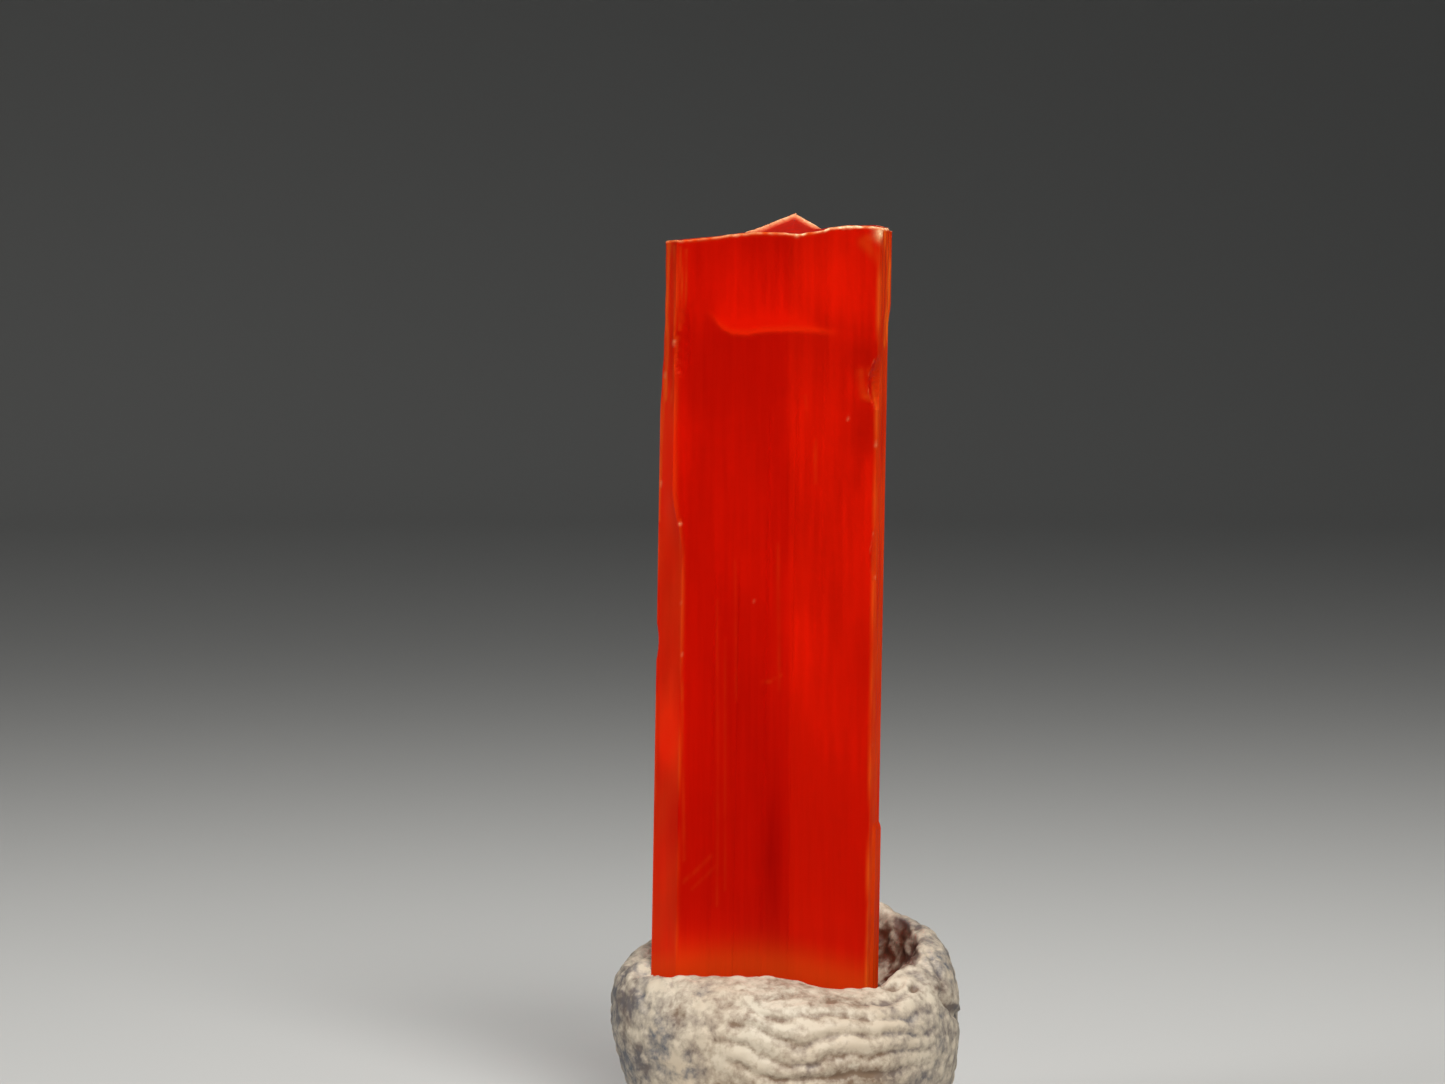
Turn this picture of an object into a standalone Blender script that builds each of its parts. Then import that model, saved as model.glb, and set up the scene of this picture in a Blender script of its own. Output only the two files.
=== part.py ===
"""A single crocoite crystal, standing in the lump of putty that holds it.

Row frame: metres, +Z up, the origin in the middle of the putty's flat foot.
+X is to the right and +Y away from whoever looks at the crystal's broad front face.
"""

import math

import bmesh
import bpy
import numpy as np
from mathutils import Matrix, Vector

MM = 0.001

# Driving dimensions of the crystal, in millimetres.
# Its own frame has Z along the prism and X across the broad front face.
FRONT_FACE_Y = -1.50
FRONT_FACE_LEFT_X = -2.28
FRONT_FACE_RIGHT_X = 2.48
LEFT_CORNER = (-2.89, -1.03)
RIGHT_CORNER = (2.73, -0.55)
BACK_EDGE = (0.40, 1.90)
CRYSTAL_FOOT_Z = 2.00
CRYSTAL_TOP_Z = 22.60
CRYSTAL_FOOT_X = -0.55
CRYSTAL_LEAN_DEG = 0.97
PRISM_SPARE_LENGTH = 1.20

# The termination: a nearly flat end with a low two-sided wedge that rises to the back edge.
END_RISE_TO_RIGHT = 0.090
END_FALL_TO_BACK = 0.070
WEDGE_PEAK_HEIGHT = 0.53
WEDGE_LEFT_FOOT = (-1.05, 0.60)
WEDGE_RIGHT_FOOT = (1.15, 1.10)
WEDGE_FRONT_FOOT = (0.30, -0.75)

# The broken foot, hidden in the putty, slopes like a fresh cleavage.
FOOT_RISE_TO_RIGHT = 0.08
FOOT_RISE_TO_BACK = 0.05

# Growth ledges: raised plates that run the whole length of a face.
# Each is where it starts and ends, as shares of the face's width, and how far it stands out.
FRONT_LEDGES = ((0.17, 0.30, 0.030), (0.44, 0.585, 0.035))
RIGHT_FACET_LEDGES = ((0.30, 0.62, 0.030),)
BACK_RIGHT_LEDGES = ((0.12, 0.30, 0.060), (0.47, 0.62, 0.045), (0.74, 0.90, 0.070))
BACK_LEFT_LEDGES = ((0.08, 0.19, 0.055), (0.33, 0.52, 0.075), (0.66, 0.84, 0.050))
LEDGE_FLANK = 0.030

# Chips knocked off the prism's upright edges: the edge, the chip's height on the prism, how deep
# it bites into the edge, and the half width and half length of the ball that scoops it out.
EDGE_CHIPS = (
    ("right", 21.55, 0.10, 0.55, 0.60),
    ("front right", 18.95, 0.17, 0.60, 0.95),
    ("right", 17.55, 0.09, 0.50, 0.75),
    ("front right", 14.60, 0.07, 0.60, 1.60),
    ("right", 10.30, 0.06, 0.55, 0.90),
    ("left", 21.00, 0.085, 0.75, 5.60),
    ("front left", 19.90, 0.05, 0.50, 1.80),
    ("left", 12.40, 0.05, 0.60, 1.10),
    ("back", 16.40, 0.13, 0.80, 1.30),
    ("back", 11.20, 0.09, 0.60, 0.80),
    ("back", 7.40, 0.07, 0.55, 0.95),
)

# Chips knocked off the rim of the flat end: the place on the section, how deep the chip bites,
# and the half width and half height of the ball.
RIM_CHIPS = (
    ((0.20, -1.50), 0.10, 1.60, 0.80),
    ((2.72, -0.95), 0.13, 0.65, 0.50),
    ((-1.70, 0.05), 0.11, 0.80, 0.50),
    ((1.95, 0.27), 0.09, 0.70, 0.50),
)
CHIP_SUBDIVISIONS = 2
CHIP_TURN_DEG = 17.0

# The thin plate on the lower right: from here down it stands out past the right-hand facet.
PLATE_TOP_Z = 7.95
PLATE_THICKNESS = 0.055
PLATE_Y_RANGE = (-1.22, -0.72)
PLATE_INSET = 0.25
PLATE_FOOT_CLEARANCE = 0.40

# Driving dimensions of the putty, in millimetres, in the row frame.
# The lump is a soft wall pinched up round the crystal. In twelve directions, by bearing in
# degrees anticlockwise from +X, these are: the radius of the foot; the radius and height of the
# belly; the radius and height of the crest; the radius and height of the hollow inside it.
PUTTY_WALL = (
    (0, 3.75, 4.40, 2.60, 3.65, 4.85, 2.75, 3.60),
    (30, 3.60, 4.30, 2.75, 3.45, 5.25, 2.50, 3.80),
    (60, 3.25, 3.95, 2.85, 2.95, 5.60, 2.15, 4.30),
    (90, 3.00, 3.75, 2.90, 2.65, 5.80, 1.95, 5.30),
    (120, 3.05, 3.90, 2.90, 2.65, 5.55, 1.80, 5.25),
    (150, 3.15, 4.20, 2.90, 3.10, 5.00, 2.25, 4.80),
    (180, 3.25, 4.40, 2.85, 3.75, 4.50, 2.95, 4.40),
    (210, 3.25, 4.25, 2.70, 3.55, 4.25, 2.75, 4.20),
    (240, 3.05, 3.90, 2.50, 2.75, 4.18, 1.95, 4.12),
    (270, 3.00, 3.75, 2.40, 2.30, 4.12, 1.50, 4.02),
    (300, 3.15, 3.95, 2.40, 2.60, 3.87, 1.80, 3.75),
    (330, 3.50, 4.30, 2.50, 3.20, 4.15, 2.45, 3.60),
)
PUTTY_BELOW_FOOT = 0.35
FOOT_TUCK = 0.25
LOW_WALL_HEIGHT = 0.85
SHOULDER_SHARE = 0.72
LIP_SHARE = 0.50
LIP_DROP_SHARE = 0.20
HOLLOW_FLOOR_SHARE = 0.50
PUTTY_SUBDIVISIONS = 2
CAGE_FITTING_STEPS = 8

# The putty stops just short of the crystal, and the block below the foot is cut away.
PUTTY_GAP = 0.20
SOCKET_CORNER_STEPS = 3
SOCKET_BELOW_CRYSTAL = 0.50
SOCKET_HEAD_ROOM = 6.0
BLOCK_SIZE = 12.0

CRYSTAL_COLOUR = (0.62, 0.012, 0.002)
PUTTY_COLOUR = (0.50, 0.45, 0.39)


def clear_scene():
    for thing in list(bpy.data.objects):
        bpy.data.objects.remove(thing, do_unlink=True)


def collection(name):
    group = bpy.data.collections.new(name)
    bpy.context.scene.collection.children.link(group)
    return group


def material(name, colour, roughness, transmission=0.0):
    look = bpy.data.materials.new(name)
    look.use_nodes = True
    look.diffuse_color = (*colour, 1.0)
    shader = look.node_tree.nodes["Principled BSDF"]
    shader.inputs["Base Color"].default_value = (*colour, 1.0)
    shader.inputs["Roughness"].default_value = roughness
    shader.inputs["Metallic"].default_value = 0.0
    shader.inputs["Transmission Weight"].default_value = transmission
    return look


def put_in(group, thing):
    for owner in list(thing.users_collection):
        owner.objects.unlink(thing)
    group.objects.link(thing)
    return thing


def as_cutter(group, thing):
    thing.hide_render = True
    thing.display_type = "WIRE"
    return put_in(group, thing)


def boolean(target, tool, operation):
    step = target.modifiers.new(f"{operation.lower()} {tool.name}", "BOOLEAN")
    step.operation = operation
    step.object = tool
    return step


def object_from(work, name):
    """A new mesh object made of the bmesh, with its faces turned outwards."""
    bmesh.ops.recalc_face_normals(work, faces=work.faces)
    mesh = bpy.data.meshes.new(name)
    work.to_mesh(mesh)
    work.free()
    thing = bpy.data.objects.new(name, mesh)
    bpy.context.scene.collection.objects.link(thing)
    return thing


def section_corners():
    """The prism's five upright edges, seen from above, anticlockwise from the front left."""
    return {
        "front left": Vector((FRONT_FACE_LEFT_X, FRONT_FACE_Y)),
        "front right": Vector((FRONT_FACE_RIGHT_X, FRONT_FACE_Y)),
        "right": Vector(RIGHT_CORNER),
        "back": Vector(BACK_EDGE),
        "left": Vector(LEFT_CORNER),
    }


def outward(along):
    """The unit vector to the right of a direction, which is outwards on an anticlockwise outline."""
    return Vector((along.y, -along.x)).normalized()


def corner_normals(corners):
    """For each corner, the normals of the sides before and after it."""
    count = len(corners)
    pairs = []
    for i, here in enumerate(corners):
        before = outward(here - corners[i - 1])
        after = outward(corners[(i + 1) % count] - here)
        pairs.append((before, after))
    return pairs


def grown_outline(by):
    """The outline with each side moved outwards by a distance, and its corners rounded off."""
    corners = list(section_corners().values())
    points = []
    for here, (before, after) in zip(corners, corner_normals(corners)):
        for step in range(SOCKET_CORNER_STEPS + 1):
            points.append(here + before.slerp(after, step / SOCKET_CORNER_STEPS) * by)
    return points


def side_with_ledges(start, end, ledges):
    """Points from one corner towards the next, with the side's raised plates on the way."""
    along = end - start
    out = outward(along)
    flank = LEDGE_FLANK / along.length
    points = [start]
    for low, high, height in ledges:
        points += [
            start + along * low,
            start + along * (low + flank) + out * height,
            start + along * (high - flank) + out * height,
            start + along * high,
        ]
    return points


def ledged_outline():
    corners = list(section_corners().values())
    ledges = [FRONT_LEDGES, RIGHT_FACET_LEDGES, BACK_RIGHT_LEDGES, BACK_LEFT_LEDGES, ()]
    points = []
    for i, here in enumerate(corners):
        points += side_with_ledges(here, corners[(i + 1) % len(corners)], ledges[i])
    return points


def prism(name, outline, bottom, top):
    """An upright solid with the outline's section, between two heights."""
    curve = bpy.data.curves.new(name, "CURVE")
    curve.dimensions = "2D"
    curve.fill_mode = "BOTH"
    curve.extrude = (top - bottom) / 2 * MM
    line = curve.splines.new("POLY")
    line.points.add(len(outline) - 1)
    line.use_cyclic_u = True
    for point, place in zip(line.points, outline):
        point.co = (place[0] * MM, place[1] * MM, 0.0, 1.0)
    drawn = bpy.data.objects.new(name + " curve", curve)
    bpy.context.scene.collection.objects.link(drawn)
    drawn.location = (0, 0, (top + bottom) / 2 * MM)
    return mesh_from_curve(name, drawn)


def mesh_from_curve(name, drawn):
    """The curve as a mesh object whose caps are welded to its sides."""
    bpy.context.view_layer.update()
    graph = bpy.context.evaluated_depsgraph_get()
    mesh = bpy.data.meshes.new_from_object(drawn.evaluated_get(graph))
    mesh.transform(drawn.matrix_world)
    bpy.data.objects.remove(drawn, do_unlink=True)
    work = bmesh.new()
    work.from_mesh(mesh)
    bpy.data.meshes.remove(mesh)
    bmesh.ops.remove_doubles(work, verts=work.verts, dist=0.0001 * MM)
    bmesh.ops.dissolve_limit(
        work, angle_limit=math.radians(0.05), verts=work.verts, edges=work.edges
    )
    return object_from(work, name)


def plane_through(points):
    """A point and the upward normal of the plane through three points given in millimetres."""
    a, b, c = (Vector(p) * MM for p in points)
    normal = (b - a).cross(c - a).normalized()
    return a, normal if normal.z > 0 else -normal


def block_cut_by(name, planes, keep_above, height):
    """A block centred at the height, of which only what lies past every plane is left."""
    work = bmesh.new()
    bmesh.ops.create_cube(
        work, size=BLOCK_SIZE * MM, matrix=Matrix.Translation((0, 0, height * MM))
    )
    for point, normal in planes:
        cut = bmesh.ops.bisect_plane(
            work,
            geom=work.verts[:] + work.edges[:] + work.faces[:],
            plane_co=point,
            plane_no=normal,
            clear_inner=keep_above,
            clear_outer=not keep_above,
        )
        rim = [item for item in cut["geom_cut"] if isinstance(item, bmesh.types.BMEdge)]
        bmesh.ops.contextual_create(work, geom=rim)
    return object_from(work, name)


def on_the_end(place, rise=0.0):
    """The point of the nearly flat end over a place on the section, lifted by a rise."""
    x, y = place
    return (x, y, CRYSTAL_TOP_Z + END_RISE_TO_RIGHT * x - END_FALL_TO_BACK * y + rise)


def termination_cutters(cutters):
    """Two blocks that leave the nearly flat end with its low wedge standing at the back."""
    flat_end = plane_through([on_the_end((0, 0)), on_the_end((1, 0)), on_the_end((0, 1))])
    peak = on_the_end(BACK_EDGE, WEDGE_PEAK_HEIGHT)
    ridge_foot = on_the_end(WEDGE_FRONT_FOOT)
    blocks = []
    for side, foot in (("left", WEDGE_LEFT_FOOT), ("right", WEDGE_RIGHT_FOOT)):
        slope = plane_through([peak, ridge_foot, on_the_end(foot)])
        block = block_cut_by(f"end {side}", [flat_end, slope], True, CRYSTAL_TOP_Z)
        blocks.append(as_cutter(cutters, block))
    return blocks


def foot_cutter(cutters):
    """A block that breaks the crystal's buried foot off along a slope."""
    slope = plane_through(
        [
            (0, 0, CRYSTAL_FOOT_Z),
            (1, 0, CRYSTAL_FOOT_Z + FOOT_RISE_TO_RIGHT),
            (0, 1, CRYSTAL_FOOT_Z + FOOT_RISE_TO_BACK),
        ]
    )
    return as_cutter(cutters, block_cut_by("foot", [slope], False, CRYSTAL_FOOT_Z))


def scoop(cutters, name, middle, half_width, half_height, turn_deg):
    """A faceted ball, stretched upright, that scoops a chip out of the crystal."""
    work = bmesh.new()
    shape = (
        Matrix.Translation(Vector(middle) * MM)
        @ Matrix.Diagonal((half_width, half_width, half_height, 1.0))
        @ Matrix.Rotation(math.radians(turn_deg), 4, "Z")
    )
    bmesh.ops.create_icosphere(
        work, subdivisions=CHIP_SUBDIVISIONS, radius=MM, matrix=shape
    )
    return as_cutter(cutters, object_from(work, name))


def chip_cutters(cutters):
    corners = section_corners()
    normals = dict(zip(corners, corner_normals(list(corners.values()))))
    scoops = []
    for i, (edge, height, depth, half_width, half_length) in enumerate(EDGE_CHIPS):
        out = (normals[edge][0] + normals[edge][1]).normalized()
        middle = corners[edge] + out * (half_width - depth)
        name = f"{edge} chip {i + 1}"
        turn = CHIP_TURN_DEG * i
        scoops.append(
            scoop(cutters, name, (*middle, height), half_width, half_length, turn)
        )
    for i, (place, depth, half_width, half_height) in enumerate(RIM_CHIPS):
        middle = on_the_end(place, half_height - depth)
        name = f"rim chip {i + 1}"
        turn = CHIP_TURN_DEG * i
        scoops.append(scoop(cutters, name, middle, half_width, half_height, turn))
    return scoops


def growth_plate(cutters):
    """The thin growth plate on the lower right, which a union joins to the prism."""
    corners = section_corners()
    front = corners["front right"]
    along = (corners["right"] - front).normalized()
    out = outward(along)
    low, high = ((y - front.y) / along.y for y in PLATE_Y_RANGE)
    outline = [
        front + along * low - out * PLATE_INSET,
        front + along * low + out * PLATE_THICKNESS,
        front + along * high + out * PLATE_THICKNESS,
        front + along * high - out * PLATE_INSET,
    ]
    foot = CRYSTAL_FOOT_Z + PLATE_FOOT_CLEARANCE
    return as_cutter(cutters, prism("growth plate", outline, foot, PLATE_TOP_Z))


def crystal_placement():
    """Leans the crystal and stands its foot where the putty holds it."""
    lean = Matrix.Rotation(math.radians(CRYSTAL_LEAN_DEG), 4, "Y")
    return Matrix.Translation((CRYSTAL_FOOT_X * MM, 0, 0)) @ lean


def build_crystal(parts, cutters):
    bottom = CRYSTAL_FOOT_Z - PRISM_SPARE_LENGTH
    top = CRYSTAL_TOP_Z + PRISM_SPARE_LENGTH
    body = put_in(parts, prism("crystal", ledged_outline(), bottom, top))
    body.data.materials.append(material("crocoite", CRYSTAL_COLOUR, 0.12, 0.8))
    plate = growth_plate(cutters)
    cuts = [foot_cutter(cutters), *termination_cutters(cutters), *chip_cutters(cutters)]
    placement = crystal_placement()
    for thing in [body, plate, *cuts]:
        thing.matrix_world = placement
    boolean(body, plate, "UNION")
    for cut in cuts:
        boolean(body, cut, "DIFFERENCE")
    return body


def wall_points():
    """The points that the putty's surface passes through, as rings from the foot to the hollow."""
    table = np.array(PUTTY_WALL, dtype=float)
    bearing = np.radians(table[:, 0])
    foot, belly, belly_z, crest, crest_z, hollow, hollow_z = table[:, 1:].T
    level = np.ones_like(foot)
    rings = (
        (foot - FOOT_TUCK, -PUTTY_BELOW_FOOT * level),
        ((foot + belly) / 2, LOW_WALL_HEIGHT * level),
        (belly, belly_z),
        (crest + (belly - crest) * SHOULDER_SHARE, belly_z + (crest_z - belly_z) * SHOULDER_SHARE),
        (crest, crest_z),
        (crest + (hollow - crest) * LIP_SHARE, crest_z + (hollow_z - crest_z) * LIP_DROP_SHARE),
        (hollow, hollow_z),
        (hollow * HOLLOW_FLOOR_SHARE, hollow_z),
    )
    return np.array([
        np.stack([radius * np.cos(bearing), radius * np.sin(bearing), height], axis=1)
        for radius, height in rings
    ])


def settled(cage):
    """Where a fine subdivision surface takes each point of a ringed cage."""
    around = (np.roll(cage, 1, axis=1) + 4 * cage + np.roll(cage, -1, axis=1)) / 6
    below = np.concatenate([around[:1], around[:-1]])
    above = np.concatenate([around[1:], around[-1:]])
    return (below + 4 * around + above) / 6


def cage_through(points):
    """A ringed cage whose subdivision surface passes through the points."""
    cage = points.copy()
    for _ in range(CAGE_FITTING_STEPS):
        cage += points - settled(cage)
    return cage


def build_putty(parts, cutters):
    """The lump: a soft pinched wall, its foot pressed flat, with the socket of the crystal."""
    work = bmesh.new()
    rings = [
        [work.verts.new(point * MM) for point in ring] for ring in cage_through(wall_points())
    ]
    for lower, upper in zip(rings, rings[1:]):
        for i in range(len(lower)):
            work.faces.new((lower[i - 1], lower[i], upper[i], upper[i - 1]))
    work.faces.new(rings[0])
    work.faces.new(rings[-1])
    lump = put_in(parts, object_from(work, "putty"))
    lump.data.materials.append(material("putty", PUTTY_COLOUR, 0.75))
    soft = lump.modifiers.new("soft form", "SUBSURF")
    soft.levels = soft.render_levels = PUTTY_SUBDIVISIONS
    table_top = plane_through([(0, 0, 0), (1, 0, 0), (0, 1, 0)])
    below = as_cutter(cutters, block_cut_by("below the foot", [table_top], False, 0))
    socket = prism(
        "socket",
        grown_outline(PUTTY_GAP),
        CRYSTAL_FOOT_Z - SOCKET_BELOW_CRYSTAL,
        CRYSTAL_FOOT_Z + SOCKET_HEAD_ROOM,
    )
    socket.matrix_world = crystal_placement()
    boolean(lump, below, "DIFFERENCE")
    boolean(lump, as_cutter(cutters, socket), "DIFFERENCE")
    return lump


def main():
    clear_scene()
    parts = collection("crocoite crystal in putty")
    cutters = collection("cutters")
    build_crystal(parts, cutters)
    build_putty(parts, cutters).data.shade_smooth()


main()
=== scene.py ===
"""Crocoite crystal standing in a lump of grey putty, dressed for close viewing.

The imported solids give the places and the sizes. This file finishes them: a finely striated,
chipped and see-through crystal, and soft putty with the prints of the fingers that kneaded it.
"""

import math

import bmesh
import bpy
import numpy as np
from bpy.props import FloatProperty, FloatVectorProperty, IntProperty, PointerProperty
from mathutils import Matrix, Vector
from mathutils.bvhtree import BVHTree


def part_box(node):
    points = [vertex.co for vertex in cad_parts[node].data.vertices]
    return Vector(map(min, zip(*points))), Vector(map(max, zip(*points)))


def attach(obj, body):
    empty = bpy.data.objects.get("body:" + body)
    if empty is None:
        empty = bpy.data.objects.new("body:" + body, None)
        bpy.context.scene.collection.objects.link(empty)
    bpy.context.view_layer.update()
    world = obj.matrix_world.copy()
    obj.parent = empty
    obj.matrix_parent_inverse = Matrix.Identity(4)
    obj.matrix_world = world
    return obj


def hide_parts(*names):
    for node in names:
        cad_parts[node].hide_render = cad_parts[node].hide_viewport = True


bl_info = {
    "name": "Crocoite in Putty",
    "version": (1, 0, 0),
    "blender": (4, 5, 0),
    "location": "View3D > Sidebar > Crocoite",
    "description": "Finishes a crocoite crystal and the lump of putty that holds it",
    "category": "Object",
}

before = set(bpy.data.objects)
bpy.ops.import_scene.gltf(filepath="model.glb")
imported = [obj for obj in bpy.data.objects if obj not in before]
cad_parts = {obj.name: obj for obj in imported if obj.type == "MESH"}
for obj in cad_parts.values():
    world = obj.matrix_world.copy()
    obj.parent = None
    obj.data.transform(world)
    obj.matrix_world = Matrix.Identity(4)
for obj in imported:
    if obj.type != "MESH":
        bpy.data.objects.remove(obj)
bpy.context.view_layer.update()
MM = 0.001
MATH = "ShaderNodeMath"
MIX = "ShaderNodeMix"
NOISE = "ShaderNodeTexNoise"

# The crystal's own frame, in millimetres: Z along the prism, X across its broad front face.
# These corners, places and leans are the solid's, so that the finished crystal fills it.
CORNERS = {
    "front left": (-2.28, -1.50),
    "front right": (2.48, -1.50),
    "right": (2.73, -0.55),
    "back": (0.40, 1.90),
    "left": (-2.89, -1.03),
}
SIDES = list(CORNERS)
FRONT, FACET, RIGHT_BACK, LEFT_BACK, BEVEL = range(len(SIDES))
FOOT_Z = 2.00
FOOT_SLOPES = (0.08, 0.05)
END_Z = 22.60
END_SLOPES = (0.090, -0.070)
WEDGE_PEAK_HEIGHT = 0.53
WEDGE_FEET = {"left": (-1.05, 0.60), "right": (1.15, 1.10), "front": (0.30, -0.75)}
AXIS_FOOT_X = -0.55
LEAN_DEG = 0.97

# The front face reaches further left above this height, where a growth plate has not broken off.
PLATE_EDGE_Z = 15.40
PLATE_EDGE_FLANK = 0.85
PLATE_EDGE_SHIFT = -0.27
PLATE_EDGE_REACH = 0.70
# Near its end the right edge swells a little, over a share of the back face beside it.
UPPER_SWELL_Z = 20.30
UPPER_SWELL_FLANK = 0.60
UPPER_SWELL_REACH = 0.25
UPPER_SWELL = 0.06

# A thin growth plate stands proud of the right facet below this height.
LOW_PLATE_TOP_Z = 7.95
LOW_PLATE_THICKNESS = 0.055
LOW_PLATE_Y_RANGE = (-1.22, -0.72)
# The right facet climbs in steep growth steps: their number, and the riser's share of a step.
FACET_STEPS = 4
FACET_RISER = 0.25

# Spacing of the crystal's mesh, fine on the faces that show most.
COLUMN_SPACING = {
    "front left": 0.036,
    "front right": 0.030,
    "right": 0.075,
    "back": 0.080,
    "left": 0.036,
}
ROW_SPACING = 0.080
FINE_ROW_SPACING = 0.035
FINE_BANDS = ((15.20, 15.60), (19.95, 20.35))
BODY_BOTTOM_Z = 3.00
BODY_TOP_Z = 21.90
RIM_ROWS = 20
FOOT_ROWS = 3
CAP_RINGS = 28

# How strongly each side is striated.
STRIA_STRENGTH = {
    "front left": 0.30,
    "front right": 0.6,
    "right": 1.6,
    "back": 1.6,
    "left": 0.6,
}
STRIA_LAYERS = ((1.0, 1.0), (0.42, 0.55), (3.4, 1.5))
CORNER_HOLD = 0.05

# Growth ledges: side, start and end as shares of its width, lowest and highest point, height.
LEDGES = (
    ("front left", 0.17, 0.30, 2.0, 14.5, 0.018),
    ("front left", 0.44, 0.585, 2.0, 18.6, 0.016),
    ("right", 0.12, 0.30, 2.0, 19.0, 0.060),
    ("right", 0.47, 0.62, 6.0, 23.5, 0.045),
    ("right", 0.74, 0.90, 2.0, 16.5, 0.070),
    ("back", 0.08, 0.19, 2.0, 14.0, 0.055),
    ("back", 0.33, 0.52, 2.0, 23.5, 0.075),
    ("back", 0.66, 0.84, 4.0, 18.0, 0.050),
)
LEDGE_FLANK = 0.040
LEDGE_TAPER = 0.90
LOW_PLATE_FLANK = 0.12

# Chips on the upright edges: edge, height, depth, half width and half length of the scoop.
EDGE_CHIPS = (
    ("front right", 18.95, 0.17, 0.60, 0.95),
    ("right", 17.55, 0.05, 0.50, 0.90),
    ("front right", 14.60, 0.07, 0.60, 1.60),
    ("right", 10.30, 0.06, 0.55, 0.90),
    ("left", 21.00, 0.085, 0.75, 5.60),
    ("front left", 19.90, 0.05, 0.50, 1.80),
    ("left", 12.40, 0.05, 0.60, 1.10),
    ("back", 16.40, 0.13, 0.80, 1.30),
    ("back", 11.20, 0.09, 0.60, 0.80),
    ("back", 7.40, 0.07, 0.55, 0.95),
)
CHIP_RIPPLE = 0.008
CHIP_SOFTNESS = 0.04
CHIP_RIM_WIDTH = 0.03
CHIP_RIM_GLOW = 0.22
CHIP_RIM_BRUISE = 0.10
# Chips on the rim of the end: place on the section, depth, half width and half height.
RIM_CHIPS = (
    ((-1.70, 0.05), 0.11, 0.80, 0.50),
    ((1.95, 0.27), 0.09, 0.70, 0.50),
    ((2.80, -0.62), 0.15, 0.45, 0.45),
)
# How far the front rim has crumbled below the end's plane: place across, and depth.
RIM_DIPS = (
    (-2.76, 0.08), (-2.03, 0.09), (-1.00, 0.02), (-0.42, 0.03), (0.10, 0.08), (0.43, 0.15),
    (0.92, 0.11), (1.25, 0.04), (1.62, 0.02), (2.27, 0.07), (2.45, 0.12), (2.70, 0.22),
)
RIM_DIP_REACH = 0.9
RIM_BEVEL = 0.055
RIM_DROP = 0.03
# How whitish the front rim is, partly crushed powder and partly a painted highlight: place across, and
# strength.
RIM_FROST = ((-2.9, 0.22), (-1.0, 0.28), (0.3, 0.40), (1.0, 0.75), (2.0, 1.0))
BACK_LIP_HEIGHT = 0.11
BACK_LIP_WIDTH = 0.20
# The broken end is slightly hackly: height and size of its bumps, and their seed. It is darker
# and hazier than the grown faces.
HACKLES = ((0.006, 0.35, 31), (0.003, 0.10, 32))
END_TONE = -0.45
END_WARMTH = 0.03
END_HAZE = 0.45

# The camera stands square to the broad face and a little above it, as in the photograph.
PHOTO_SIZE = (1445, 1084)
PIXELS_PER_MM = 40.0
AIM_MM = (-1.59, 0.0, 14.85)
CAMERA_DISTANCE_MM = 180.0
CAMERA_ELEVATION_DEG = 4.0
SENSOR_WIDTH = 36.0

# Marks and painted light and shade on the crystal's front, in photograph pixels. The crack that
# reaches the front face is a painted highlight: a bright wavy line. Above it the face has a painted
# glow, and painted shade makes it a little darker below it.
CRACK_LINE = (
    (700, 309), (710, 314), (721, 326), (731, 332), (747, 333), (764, 330), (788, 329),
    (814, 330), (828, 332), (846, 333),
)
CRACK_WIDTH = 3.4
CRACK_FADES = (28, 30)
CRACK_HIGHLIGHT_TONE = 0.20
CRACK_ORANGE = 0.06
CRACK_GLOW_REACH = 18.0
CRACK_GLOW_X_RANGE = (700, 830)
CRACK_GLOW_FADES = (24, 42)
CRACK_GLOW_TONE = 0.45
CRACK_SHADE_REACH = 40.0
CRACK_SHADE_TONE = -0.12
# The back edge, seen through the front face, parts a darker half from a lighter one: painted shade on
# the left side and painted light on the right, with a little painted orange glow on the lighter side.
SEAM_X = 789
SEAM_WIDTH = 3.0
SEAM_Y_RANGE = (328, 945)
SEAM_FADES = (8, 30)
SEAM_SHADE_STEP = 0.12
SEAM_ORANGE = 0.012
# Painted light and shade down the front, lightest in the upper middle and darker toward the foot: how
# light the front is at each height, as photograph row and tone.
HEIGHT_LIGHT_AND_SHADE = ((220, 0.08), (330, 0.10), (420, 0.24), (640, 0.15), (800, 0.05), (1000, -0.04))
# Where the putty's pale lip shines through the crystal's foot, as a soft band.
FOOT_BAND = ((650, 968), (700, 968), (750, 966), (800, 972), (870, 990))
FOOT_BAND_WIDTH = 22.0
FOOT_BAND_GLOW = 0.20
# The foot is hazier than the rest, from this many pixels above the band downwards, and a
# deeper red keeps the haze from glowing.
FOOT_HAZE_REACH = 95.0
FOOT_HAZE = 0.42
FOOT_HAZE_TONE = -0.80
# Patches of painted light and shade: middle, half size, and how much brighter or darker.
LIGHT_AND_SHADE_PATCHES = (
    ((745, 285), (95, 60), 0.16),
    ((835, 285), (50, 60), 0.24),
    ((866, 356), (20, 20), -0.38),
    ((866, 428), (16, 30), -0.36),
    ((850, 470), (22, 60), -0.12),
    ((772, 862), (13, 90), -0.42),
    ((742, 700), (22, 130), -0.08),
    ((718, 830), (52, 100), -0.16),
    ((825, 830), (38, 90), -0.10),
    ((669, 740), (14, 46), 0.45),
    ((664, 290), (10, 70), 0.20),
    ((684, 955), (28, 26), 0.22),
    ((700, 470), (20, 120), -0.10),
    ((664, 450), (10, 110), 0.32),
    ((662, 880), (12, 80), 0.30),
)
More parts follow.
